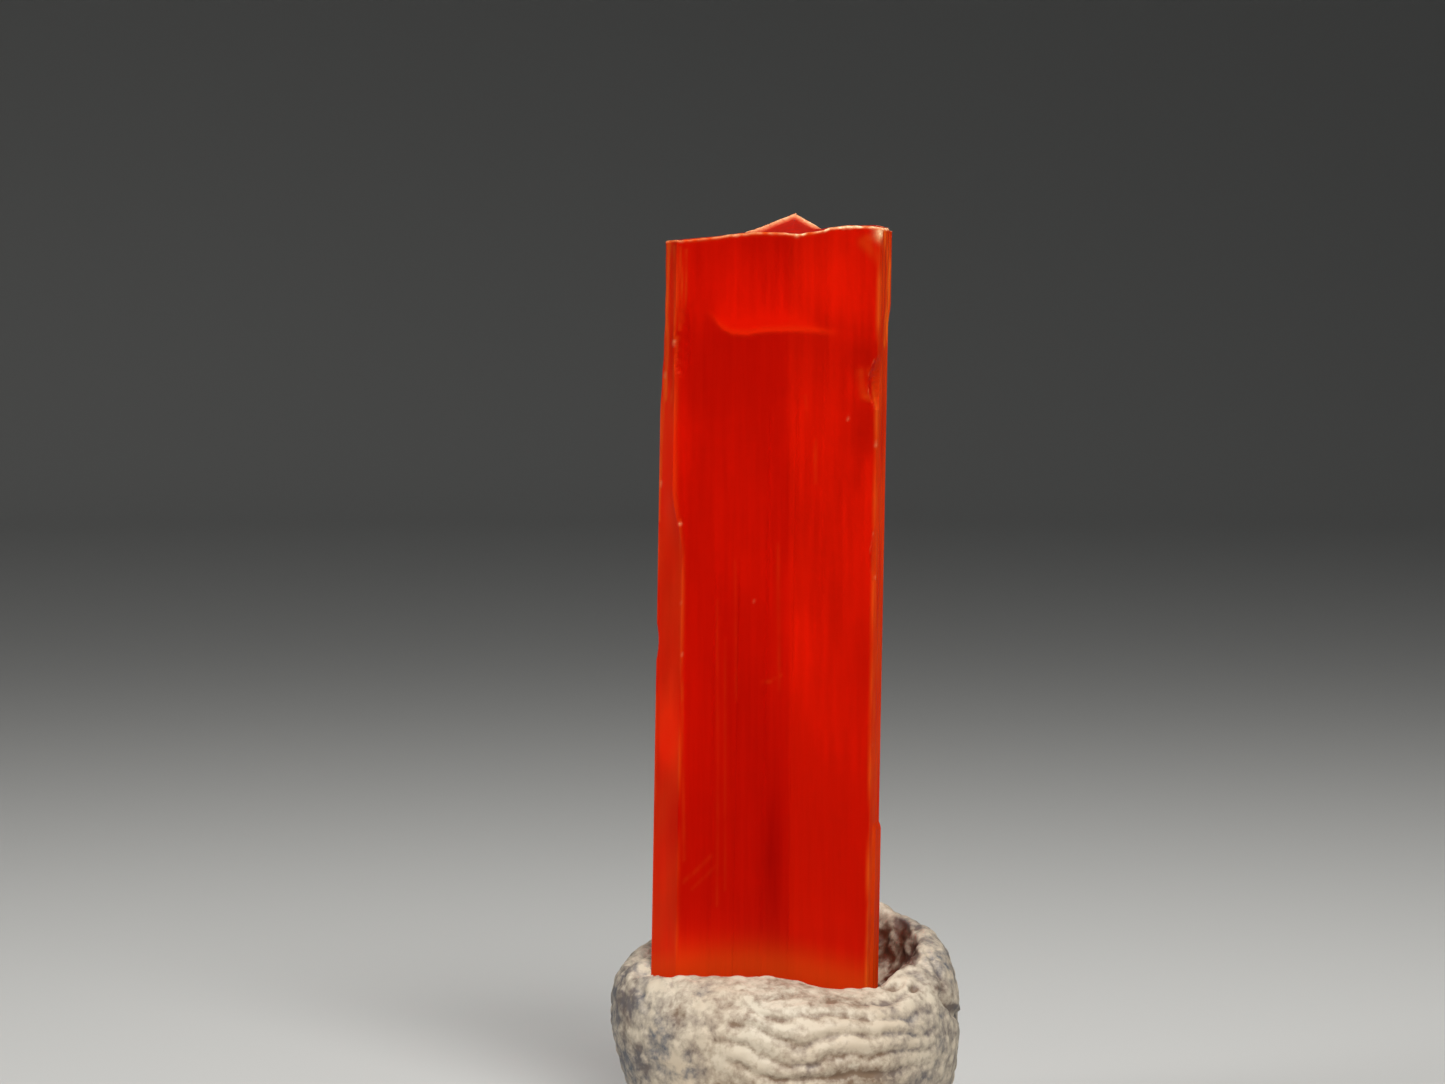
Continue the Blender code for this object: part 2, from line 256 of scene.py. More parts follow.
# Orange marks, partly scratches and streaks and partly painted glow along the thin edges and round the
# chip: a line, its width in pixels and its strength.
ORANGE_LINES = (
    (((669, 243), (667, 300), (667, 345), (665, 400)), 2.6, 0.55),
    (((674, 246), (675, 300), (674, 343)), 1.6, 0.34),
    (((680, 247), (682, 290), (680, 330)), 1.3, 0.26),
    (((686, 250), (686, 290), (683, 322)), 1.3, 0.18),
    (((677, 338), (674, 365), (671, 402)), 2.0, 0.26),
    (((663, 400), (660, 470), (659, 520)), 2.4, 0.45),
    (((657, 560), (656, 700), (655, 840)), 1.8, 0.25),
    (((860, 372), (861, 385), (864, 396)), 4.0, 0.22),
    (((864, 396), (873, 400), (886, 400)), 2.6, 0.30),
    (((870, 372), (880, 382), (885, 392)), 5.0, 0.16),
    (((864, 242), (872, 250), (882, 262)), 6.0, 0.18),
    (((868, 238), (880, 240), (886, 252)), 4.0, 0.30),
    (((886, 232), (889, 262), (888, 300), (886, 345)), 3.6, 0.80),
    (((815, 440), (816, 482)), 2.4, 0.10),
    (((805, 395), (808, 420)), 2.0, 0.06),
    (((761, 683), (771, 681), (781, 675)), 1.2, 0.14),
    (((717, 600), (718, 760), (717, 905)), 1.2, 0.07),
    (((725, 640), (725, 890)), 1.2, 0.06),
    (((735, 560), (736, 700)), 1.2, 0.05),
    (((778, 545), (779, 690)), 1.6, 0.07),
    (((684, 881), (697, 870), (711, 856)), 1.7, 0.10),
    (((692, 889), (716, 866)), 1.4, 0.07),
    (((680, 520), (681, 610), (682, 700)), 1.6, 0.22),
    (((682, 700), (684, 860)), 1.5, 0.12),
    (((869, 880), (868, 930), (867, 988)), 2.0, 0.45),
    (((877, 400), (876, 560), (874, 720), (872, 880)), 2.0, 0.40),
)
# Pale spots, partly crushed powder and partly painted highlights on the rims and edges: middle, radius
# in pixels and strength.
PALE_SPOTS = (
    ((883, 233), 7.0, 1.0),
    ((889, 272), 1.8, 0.8),
    ((888, 293), 1.6, 0.7),
    ((887, 347), 1.6, 0.7),
    ((674, 343), 1.8, 0.45),
    ((665, 375), 1.4, 0.6),
    ((661, 484), 1.4, 0.6),
    ((680, 524), 1.6, 0.5),
    ((681, 602), 1.2, 0.20),
    ((682, 655), 1.2, 0.20),
    ((848, 418), 1.3, 0.35),
    ((877, 577), 1.8, 0.6),
    ((876, 444), 1.6, 0.4),
    ((875, 745), 1.8, 0.5),
    ((754, 602), 1.2, 0.20),
    ((797, 234), 2.6, 0.8),
)
# How orange each side is all over: the narrow sides are thin, and let more light through.
SIDE_WARMTH = {
    "front left": 0.0,
    "front right": 0.30,
    "right": 0.10,
    "back": 0.10,
    "left": 0.12,
}
# Upright edges and the end's rim glow orange within this width.
EDGE_GLOW_WIDTH = 0.06
LEFT_EDGE_GLOW = 0.30
RIGHT_EDGE_GLOW = 0.50
RIM_GLOW = 0.60
GRAINS_PER_SQUARE_MM = 90

# The putty's mesh, and how it is drawn in until it clings to the crystal.
PUTTY_VOXEL = 0.059
PUTTY_SMOOTHING = 7
CLING_FULL = 0.26
CLING_REACH = 0.60
CLING_GAP = 0.008
LIP_WAVE = 0.05
# How far the front lip sinks where it meets the crystal: place across, and depth.
LIP_DIPS = ((-3.6, 0.22), (-2.8, 0.22), (-2.0, 0.26), (0.0, 0.36), (1.2, 0.42), (2.2, 0.50))
# How far the lobe behind the crystal stands above the solid's: photograph pixel, half size,
# height. Nothing in front of the second value is raised.
BACK_LOBE = ((872, 908), (22, 16), 0.17)
BACK_LOBE_Y = 0.5
# The lump is swollen by this much first, because almost all that follows presses it in.
PUTTY_SWELL = 0.045

# Creases pressed into the putty's front, drawn as lines of photograph pixels, with their width
# and depth in millimetres.
CREASES = (
    (((906, 946), (920, 959), (933, 972), (943, 980), (947, 997)), 0.09, 0.06),
    (((944, 994), (950, 1004), (957, 1013), (963, 1018)), 0.08, 0.20),
    (((653, 951), (644, 954), (636, 956), (628, 962)), 0.07, 0.12),
    (((884, 984), (892, 987), (900, 984)), 0.07, 0.14),
    (((870, 983), (875, 985)), 0.05, 0.08),
    (((719, 1003), (760, 1006), (800, 1002)), 0.08, 0.03),
    (((893, 921), (901, 925), (899, 938)), 0.08, 0.06),
    (((926, 950), (934, 962), (941, 974)), 0.05, 0.05),
)
# Small dents in the putty: photograph pixel, radius and depth in millimetres.
DENTS = (
    ((914, 988), 0.10, 0.12),
    ((678, 1016), 0.12, 0.06),
    ((695, 1004), 0.11, 0.05),
    ((646, 1008), 0.12, 0.05),
    ((641, 992), 0.10, 0.05),
    ((655, 1050), 0.16, 0.05),
    ((917, 927), 0.12, 0.05),
)
# Dirty places, partly grime and partly painted shade in the cavities, under the overhang on the right,
# down the left side and along the bottom: middle and half size in photograph pixels, and strength.
GRIME_AND_SHADE = (
    ((622, 1010), (22, 45), 0.45),
    ((636, 1062), (24, 22), 0.45),
    ((640, 975), (16, 14), 0.20),
    ((940, 985), (16, 30), 0.20),
    ((897, 921), (7, 6), 0.60),
    ((919, 926), (8, 5), 0.35),
    ((955, 1009), (7, 5), 0.90),
    ((914, 988), (5, 3), 0.80),
    ((892, 986), (8, 4), 0.90),
    ((870, 1075), (90, 12), 0.25),
)

# The patch of the front that a fingertip printed: middle and half size, in millimetres.
PRINT_MIDDLE = (1.00, 2.60)
PRINT_HALF_SIZE = (2.90, 2.00)
# Left of this place the print's ridges turn up, the more the further out: per metre.
PRINT_TURN_X = 0.35
RIDGE_BEND = 80.0
# How far the ridges wander up and down, and the sizes of lumps and pits, in millimetres.
RIDGE_WANDER = 1.1
LUMP_SIZE = 0.85
PIT_SIZE = 0.36

# The hollow beside the crystal: how high its rim is left and right of the range where it drops,
# the least place across, and its reach from the lump's middle.
HOLLOW_RIM_Z = (5.2, 4.3)
HOLLOW_RIM_X_RANGE = (2.9, 3.5)
HOLLOW_X = 2.0
HOLLOW_REACH = 3.45


def linear(hex_colour):
    """The linear colour of an sRGB hex value, with full alpha."""
    channels = [int(hex_colour[i:i + 2], 16) / 255 for i in (1, 3, 5)]
    return (*[c / 12.92 if c <= 0.04045 else ((c + 0.055) / 1.055) ** 2.4 for c in channels], 1.0)


def add(tree, kind, inputs=None, **settings):
    """Adds a node. Each input is a value, a socket, or a node whose first output is used."""
    node = tree.nodes.new(kind)
    for name, value in settings.items():
        setattr(node, name, value)
    for key, value in (inputs or {}).items():
        if isinstance(value, bpy.types.Node):
            value = next(output for output in value.outputs if output.enabled)
        if isinstance(value, bpy.types.NodeSocket):
            tree.links.new(value, node.inputs[key])
        else:
            node.inputs[key].default_value = value
    return node


def size_setting(name, description, size_mm):
    """A length that a user can change."""
    return FloatProperty(
        name=name, description=description, default=size_mm * MM, unit="LENGTH", precision=6
    )


def colour_setting(name, description, hex_colour):
    """A colour that a user can change."""
    return FloatVectorProperty(
        name=name, description=description, default=linear(hex_colour)[:3], subtype="COLOR",
        min=0, max=1,
    )


class CrocoiteCrystalSettings(bpy.types.PropertyGroup):
    """What a user would change on the crystal."""

    stria_spacing: size_setting("Striation Spacing", "Mean width of the growth striations", 0.11)
    stria_relief: size_setting("Striation Relief", "How far the striations stand out", 0.0045)
    grain_size: size_setting("Grain Size", "Radius of the crushed grains on the rim", 0.024)
    seed: IntProperty(name="Seed", description="Arrangement of striations and grains", default=7)
    body_colour: colour_setting("Body Colour", "The crystal's own red", "#FF1601")
    deep_colour: colour_setting("Deep Colour", "The red of its darker places", "#B80200")
    # The edge colour is painted glow: light let through thin edges, and the putty's lip seen through
    # the foot.
    edge_colour: colour_setting("Edge Colour", "Thin edges, which let more light through", "#FF7A1E")
    # The bruise colour also paints highlights on the rims and edges.
    bruise_colour: colour_setting("Bruise Colour", "Crushed rims and chips", "#FFE2B4")


class CrocoitePuttySettings(bpy.types.PropertyGroup):
    """What a user would change on the putty."""

    ridge_spacing: size_setting("Ridge Spacing", "Distance between finger ridges", 0.49)
    ridge_relief: size_setting("Ridge Relief", "Half the height of the finger ridges", 0.042)
    lump_relief: size_setting("Lump Relief", "Height of the kneaded lumps", 0.045)
    pit_relief: size_setting("Pit Relief", "Depth of the small pits between the lumps", 0.042)
    seed: IntProperty(name="Seed", description="Arrangement of lumps, pits and ridges", default=3)
    light_colour: colour_setting("Light Colour", "Clean putty", "#C6BDAA")
    # The dark colour paints grime, and the shade of the pits, creases and sides.
    dark_colour: colour_setting("Dark Colour", "Grime kneaded into the putty", "#56585E")


class CrocoiteStageSettings(bpy.types.PropertyGroup):
    """What a user would change on the stage."""

    floor_colour: colour_setting("Floor Colour", "Pale floor and backdrop", "#BEBDB9")
    key_power: FloatProperty(
        name="Key Light", description="Power of the main soft light", default=0.050, unit="POWER",
    )


def settings(name):
    return getattr(bpy.context.scene, "crocoite_" + name)


def new_object(name, data):
    thing = bpy.data.objects.new(name, data)
    bpy.context.scene.collection.objects.link(thing)
    return thing


def settle(thing):
    """Turns an object's modifiers into its mesh, and takes the modifiers off."""
    bpy.context.view_layer.update()
    graph = bpy.context.evaluated_depsgraph_get()
    old = thing.data
    thing.data = bpy.data.meshes.new_from_object(thing.evaluated_get(graph))
    thing.data.name = thing.name
    thing.modifiers.clear()
    bpy.data.meshes.remove(old)
    return thing


def geometry_tree(name, labels):
    """A geometry tree with named number inputs and a material, and its input sockets by name."""
    tree = bpy.data.node_groups.new(name, "GeometryNodeTree")
    tree.interface.new_socket("Geometry", in_out="INPUT", socket_type="NodeSocketGeometry")
    for label in labels:
        kind = "NodeSocketInt" if label == "Seed" else "NodeSocketFloat"
        tree.interface.new_socket(label, in_out="INPUT", socket_type=kind)
    tree.interface.new_socket("Material", in_out="INPUT", socket_type="NodeSocketMaterial")
    tree.interface.new_socket("Geometry", in_out="OUTPUT", socket_type="NodeSocketGeometry")
    return tree, tree.nodes.new("NodeGroupInput").outputs


def finish_tree(tree, given, geometry):
    """Ends a geometry tree: instances made real, and its material set."""
    real = add(tree, "GeometryNodeRealizeInstances", {"Geometry": geometry})
    dressed = add(
        tree, "GeometryNodeSetMaterial", {"Geometry": real, "Material": given["Material"]}
    )
    add(tree, "NodeGroupOutput", {"Geometry": dressed})


def use_tree(thing, tree, values):
    """Puts a geometry tree on an object, with its inputs set by their identifiers."""
    step = thing.modifiers.new(tree.name, "NODES")
    step.node_group = tree
    for item in tree.interface.items_tree:
        if item.in_out == "INPUT" and item.name in values:
            step[item.identifier] = values[item.name]


def store(mesh, name, values, kind="FLOAT"):
    """Writes a point attribute from an array."""
    layer = mesh.attributes.new(name, kind, "POINT")
    field = "vector" if kind == "FLOAT_VECTOR" else "value"
    layer.data.foreach_set(field, np.ascontiguousarray(values, dtype=np.float32).ravel())


def smooth(low, high, values):
    """Rises smoothly from 0 at low to 1 at high."""
    t = np.clip((values - low) / (high - low), 0, 1)
    return t * t * (3 - 2 * t)


def window(values, low, high, rise, fall):
    """Rises smoothly from 0 at low over the rise, and falls back to 0 at high over the fall."""
    return smooth(low, low + rise, values) * (1 - smooth(high - fall, high, values))


def ripple(points, size, seed, waves=9):
    """A soft random field between about -1 and 1, whose lumps are about one size across."""
    random = np.random.default_rng(seed)
    directions = random.normal(size=(waves, points.shape[-1]))
    directions /= np.linalg.norm(directions, axis=1, keepdims=True)
    lengths = size * random.uniform(1.3, 2.9, waves)
    phases = random.uniform(0, 2 * math.pi, waves)
    total = np.zeros(points.shape[:-1])
    for direction, length, phase in zip(directions, lengths, phases):
        total += np.sin(points @ direction * (2 * math.pi / length) + phase)
    return total / math.sqrt(waves) * 0.9


def photo_place(points):
    """Where points of the row frame, in millimetres, fall in the photograph, in its pixels."""
    tilt = math.radians(CAMERA_ELEVATION_DEG)
    away = points - np.array(AIM_MM)
    up = away[..., 2] * math.cos(tilt) + away[..., 1] * math.sin(tilt)
    deep = away[..., 1] * math.cos(tilt) - away[..., 2] * math.sin(tilt)
    scale = PIXELS_PER_MM * CAMERA_DISTANCE_MM / (CAMERA_DISTANCE_MM + deep)
    x = PHOTO_SIZE[0] / 2 + away[..., 0] * scale
    y = PHOTO_SIZE[1] / 2 - up * scale
    return np.stack([x, y], axis=-1)


def line_distance(places, line):
    """Distance of flat places from a broken line, in the same unit."""
    nearest = np.full(places.shape[:-1], np.inf)
    for start, end in zip(np.array(line[:-1], float), np.array(line[1:], float)):
        along = end - start
        share = np.clip((places - start) @ along / (along @ along), 0, 1)
        gap = np.linalg.norm(places - start - share[..., None] * along, axis=-1)
        nearest = np.minimum(nearest, gap)
    return nearest


def blob(places, middle, half_size):
    """A soft round patch: 1 at its middle, fading out past its half size."""
    offset = (places - np.array(middle)) / np.array(half_size)
    return np.exp(-np.sum(offset ** 2, axis=-1) * 1.2)


def placement():
    """From the crystal's own frame to the row frame, in metres."""
    lean = Matrix.Rotation(math.radians(LEAN_DEG), 4, "Y")
    return Matrix.Translation((AXIS_FOOT_X * MM, 0, 0)) @ lean


def side_frames():
    """For each side: its starting corner, its outward direction and its width."""
    corners = np.array(list(CORNERS.values()))
    along = np.roll(corners, -1, axis=0) - corners
    width = np.linalg.norm(along, axis=1)
    out = np.stack([along[:, 1], -along[:, 0]], axis=1) / width[:, None]
    return corners, out, width


def wedge_height(x, y):
    """Height of the low wedge that rises to the back edge, over points of the section."""
    peak = np.array(CORNERS["back"])
    front = np.array(WEDGE_FEET["front"])
    planes = []
    for side in ("left", "right"):
        across = np.array([[*peak, 1], [*front, 1], [*WEDGE_FEET[side], 1]])
        a, b, c = np.linalg.solve(across, [WEDGE_PEAK_HEIGHT, 0, 0])
        planes.append(a * x + b * y + c)
    return np.maximum(0, np.minimum(*planes))


def back_distance(x, y):
    """Distance of points of the section from the nearer of the two back faces."""
    corners, out, _ = side_frames()
    gaps = []
    for i in (RIGHT_BACK, LEFT_BACK):
        gaps.append((corners[i][0] - x) * out[i][0] + (corners[i][1] - y) * out[i][1])
    return np.minimum(*gaps)


def end_height(x, y):
    """Height of the crystal's end over points of its section."""
    flat = END_Z + END_SLOPES[0] * x + END_SLOPES[1] * y
    wedge = wedge_height(x, y)
    lip = BACK_LIP_HEIGHT * smooth(0.02, BACK_LIP_WIDTH, back_distance(x, y)) * smooth(0.0, 0.2, wedge)
    across, depth = np.array(RIM_DIPS).T
    fade = np.exp(-((y - CORNERS["front left"][1]) / RIM_DIP_REACH) ** 2)
    return flat + wedge - lip - np.interp(x, across, depth) * fade


def row_heights():
    """Heights of the rows along the prism's body, closer together in the fine bands."""
    heights = list(np.arange(BODY_BOTTOM_Z, BODY_TOP_Z + ROW_SPACING / 2, ROW_SPACING))
    for low, high in FINE_BANDS:
        heights = [z for z in heights if not low < z < high]
        heights += list(np.arange(low, high, FINE_ROW_SPACING))
    return np.array(sorted(heights))


class PrismGrid:
    """The crystal's upright faces as a grid of rows by columns, in its own frame."""

    def __init__(self):
        corners, out, width = side_frames()
        self.side, self.share, self.girth = self.columns(width)
        ends = np.roll(corners, -1, axis=0)
        outline = corners[self.side] + (ends - corners)[self.side] * self.share[:, None]
        x, y = outline.T
        body = row_heights()
        foot_z = FOOT_Z + FOOT_SLOPES[0] * x + FOOT_SLOPES[1] * y
        foot_steps = np.linspace(0, 1, FOOT_ROWS, endpoint=False)[:, None]
        top_z = end_height(x, y)
        rim_steps = (1 - (1 - np.linspace(0, 1, RIM_ROWS + 1)[1:]) ** 1.7)[:, None]
        z = np.concatenate([
            foot_z + (BODY_BOTTOM_Z - foot_z) * foot_steps,
            np.repeat(body[:, None], len(x), axis=1),
            body[-1] + (top_z - body[-1]) * rim_steps,
        ])
        self.points = np.dstack([np.broadcast_to(x, z.shape), np.broadcast_to(y, z.shape), z])
        self.rim_distance = top_z - z
        self.out = np.column_stack([out[self.side], np.zeros(len(x))])
        self.edge_distance = np.minimum(self.share, 1 - self.share) * width[self.side]
        self.width = width
        self.shift_edges(z)

    def columns(self, widths):
        """Every column's side, its share of the side's width, and its place round the girth."""
        sides, shares, girths = [], [], []
        for i, name in enumerate(SIDES):
            count = math.ceil(widths[i] / COLUMN_SPACING[name])
            start = widths[:i].sum()
            sides += [i] * count
            shares += [k / count for k in range(count)]
            girths += [start + widths[i] * k / count for k in range(count)]
        return np.array(sides), np.array(shares), np.array(girths)

    def shift_edges(self, z):
        """Moves the front left edge out above the broken plate, and swells the right edge."""
        from_corner = self.share * self.width[FRONT]
        share = np.where(self.side == FRONT, np.clip(1 - from_corner / PLATE_EDGE_REACH, 0, 1), 0.0)
        share = np.where(self.side == BEVEL, self.share, share)
        above = smooth(PLATE_EDGE_Z - PLATE_EDGE_FLANK, PLATE_EDGE_Z + PLATE_EDGE_FLANK, z)
        self.points[..., 0] += PLATE_EDGE_SHIFT * share * above
        swell = np.where(self.side == FACET, self.share, 0.0)
        past_edge = np.clip(1 - self.share / UPPER_SWELL_REACH, 0, 1)
        swell = np.where(self.side == RIGHT_BACK, past_edge, swell)
        above = smooth(UPPER_SWELL_Z, UPPER_SWELL_Z + UPPER_SWELL_FLANK, z)
        self.points[..., 0] += UPPER_SWELL * swell * above


def raise_ledges(grid):
    """Raises the growth ledges, the right facet's steps and the low plate."""
    z = grid.points[..., 2]
    climb = grid.share * FACET_STEPS
    stair = (np.floor(climb) + np.clip((climb % 1) / FACET_RISER, 0, 1)) / FACET_STEPS
    facet_run = CORNERS["right"][0] - CORNERS["front right"][0]
    on_facet = grid.side == FACET
    grid.points[..., 0] += facet_run * (stair - grid.share) * on_facet
    for side, low, high, bottom, top, height in LEDGES:
        i = SIDES.index(side)
        flank = LEDGE_FLANK / grid.width[i]
        profile = window(grid.share, low, high, flank, flank)
        length = window(z, bottom, top, LEDGE_TAPER, LEDGE_TAPER)
        grid.points += grid.out[None] * (height * profile * (grid.side == i) * length)[..., None]
    y = grid.points[..., 1]
    low, high = LOW_PLATE_Y_RANGE
    on_plate = on_facet & (y > low) & (y < high)
    length = 1 - smooth(LOW_PLATE_TOP_Z - LOW_PLATE_FLANK, LOW_PLATE_TOP_Z, z)
    grid.points += grid.out[None] * (LOW_PLATE_THICKNESS * on_plate * length)[..., None]


def scoop_list():
    """Every chip: the middle and half sizes of its hollow, and whether it runs up an edge."""
    corners, out, _ = side_frames()
    scoops = []
    for edge, height, depth, half_width, half_length in EDGE_CHIPS:
        i = SIDES.index(edge)
        away = out[i] + out[i - 1]
        away /= np.linalg.norm(away)
        middle = (*(corners[i] + away * (half_width - depth)), height)
        scoops.append((middle, (half_width, half_width, half_length), True))
    for (x, y), depth, half_width, half_height in RIM_CHIPS:
        middle = (x, y, float(end_height(np.array(x), np.array(y))) + half_height - depth)
        scoops.append((middle, (half_width, half_width, half_height), False))
    return scoops


def knock_chips(points, bruise_and_glint, edge):
    """Scoops the chips out of the points, with shell-like ripples, and lights their rims.

    A chip on an upright edge only pushes points sideways, so that the rim keeps its height.
    """
    for k, (middle, half, upright) in enumerate(scoop_list()):
        middle, half = np.array(middle), np.array(half)
        inward = (points - middle) / half
        wave = 1 + CHIP_RIPPLE * np.sin(40 * inward[..., 2] + 9 * inward[..., 0] + k)
        if upright:
            wave = wave * np.sqrt(np.clip(1 - inward[..., 2] ** 2, 0, 1))
            inward[..., 2] = 0
        depth = np.maximum(np.linalg.norm(inward, axis=-1), 1e-6)
        share = np.clip(0.5 + 0.5 * (wave - depth) / CHIP_SOFTNESS, 0, 1)
        reach = depth * (1 - share) + wave * share + CHIP_SOFTNESS * share * (1 - share)
        moved = points + inward * half * (reach / depth - 1)[..., None]
        points[share > 0] = moved[share > 0]
        grain = np.clip(0.2 + 0.8 * ripple(points, 0.10, 40 + k), 0, 1)
        rim = np.exp(-((depth - wave) / CHIP_RIM_WIDTH) ** 2) * grain * (middle[0] > 0)
        np.maximum(edge, CHIP_RIM_GLOW * rim, out=edge)
        np.maximum(bruise_and_glint, CHIP_RIM_BRUISE * rim * rim, out=bruise_and_glint)


def crush_rim(grid):
    """Bevels and crumbles the rim of the crystal's end; returns how whitish each point is, partly
    crushed and partly a painted highlight.
    """
    points = grid.points
    noise = np.clip(0.5 + 0.35 * ripple(points, 0.30, 11) + 0.3 * ripple(points, 0.09, 12), 0, 1.2)
    near = np.clip(1 - grid.rim_distance / RIM_BEVEL, 0, 1)
    points -= grid.out[None] * (RIM_BEVEL * near * (0.35 + 0.65 * noise))[..., None]
    lipped = smooth(0.0, 0.15, wedge_height(points[..., 0], points[..., 1]))
    points[..., 2] -= RIM_DROP * near * noise * (1 - lipped)
    frost = np.clip(1.35 - grid.rim_distance / (RIM_BEVEL * (0.8 + 0.6 * noise)), 0, 1)
    frost = frost * np.interp(points[..., 0], *np.array(RIM_FROST).T)
    return np.clip(frost * (0.85 + 0.7 * ripple(points, 0.12, 13)), 0, 1)


def paint_front(points, side, edge_distance):
    """The tone, orange, pale marks and haze of the faces that the photograph shows. The tone holds
    painted light and shade, the orange holds painted glow and the painted glow of the putty's lip
    through the foot, and the pale marks hold painted highlights.

    The right facet is seen almost edge on, so its pale marks keep to its two edges.
    """
    matrix = np.array(placement())
    world = points @ matrix[:3, :3].T + matrix[:3, 3] / MM
    places = photo_place(world)
    px, py = places[..., 0], places[..., 1]
    front = np.isin(side, (FRONT, FACET, BEVEL))
    on_face = side == FRONT
    line = np.array(CRACK_LINE)
    above = np.interp(px, line[:, 0], line[:, 1]) - py
    crack = window(px, line[0, 0], line[-1, 0], *CRACK_FADES)
    bright = np.exp(-(above / CRACK_WIDTH) ** 2)
    glow = np.exp(-np.maximum(above, 0) / CRACK_GLOW_REACH) * smooth(-5.0, 4.0, above)
    glow = glow * window(px, *CRACK_GLOW_X_RANGE, *CRACK_GLOW_FADES)
    # A painted highlight along the crack, a painted glow above it and painted shade below it.
    tone_and_painted_light = (CRACK_HIGHLIGHT_TONE * bright + CRACK_GLOW_TONE * glow) * crack * on_face
    tone_and_painted_light = tone_and_painted_light + CRACK_SHADE_TONE * (above < 0) * crack * np.exp(above / CRACK_SHADE_REACH)
    # Painted light and shade by height.
    tone_and_painted_light = tone_and_painted_light + np.interp(py, *np.array(HEIGHT_LIGHT_AND_SHADE).T)
    # Painted shade left of the seen back edge, painted light right of it.
    beside = smooth(SEAM_X - SEAM_WIDTH / 2, SEAM_X + SEAM_WIDTH / 2, px)
    tone_and_painted_light = tone_and_painted_light + SEAM_SHADE_STEP * (beside - 0.5) * window(py, *SEAM_Y_RANGE, *SEAM_FADES)
    # Patches of painted light and shade.
    for middle, half_size, amount in LIGHT_AND_SHADE_PATCHES:
        tone_and_painted_light = tone_and_painted_light + amount * blob(places, middle, half_size)
    orange = (CRACK_ORANGE * bright * crack + SEAM_ORANGE * beside) * on_face
    band = np.exp(-(line_distance(places, FOOT_BAND) / FOOT_BAND_WIDTH) ** 2)
    orange = np.maximum(orange, FOOT_BAND_GLOW * band)
    haze = smooth(-FOOT_HAZE_REACH, 0, py - np.interp(px, *np.array(FOOT_BAND).T)) * FOOT_HAZE
    tone_and_painted_light = tone_and_painted_light + FOOT_HAZE_TONE * haze
    grit = np.clip(0.75 + 0.35 * ripple(points * (1, 1, 0.25), 0.10, 27), 0, 1)
    for line, width, strength in ORANGE_LINES:
        mark = np.exp(-(line_distance(places, line) / width) ** 2)
        orange = np.maximum(orange, strength * mark * grit)
    pale = np.zeros(px.shape)
    for middle, radius, strength in PALE_SPOTS:
        pale = np.maximum(pale, strength * blob(places, middle, (radius, radius)))
    pale = pale * np.where(side == FACET, np.exp(-(edge_distance / EDGE_GLOW_WIDTH) ** 2), 1)
    return tone_and_painted_light * front, orange * front, pale * front, haze * front


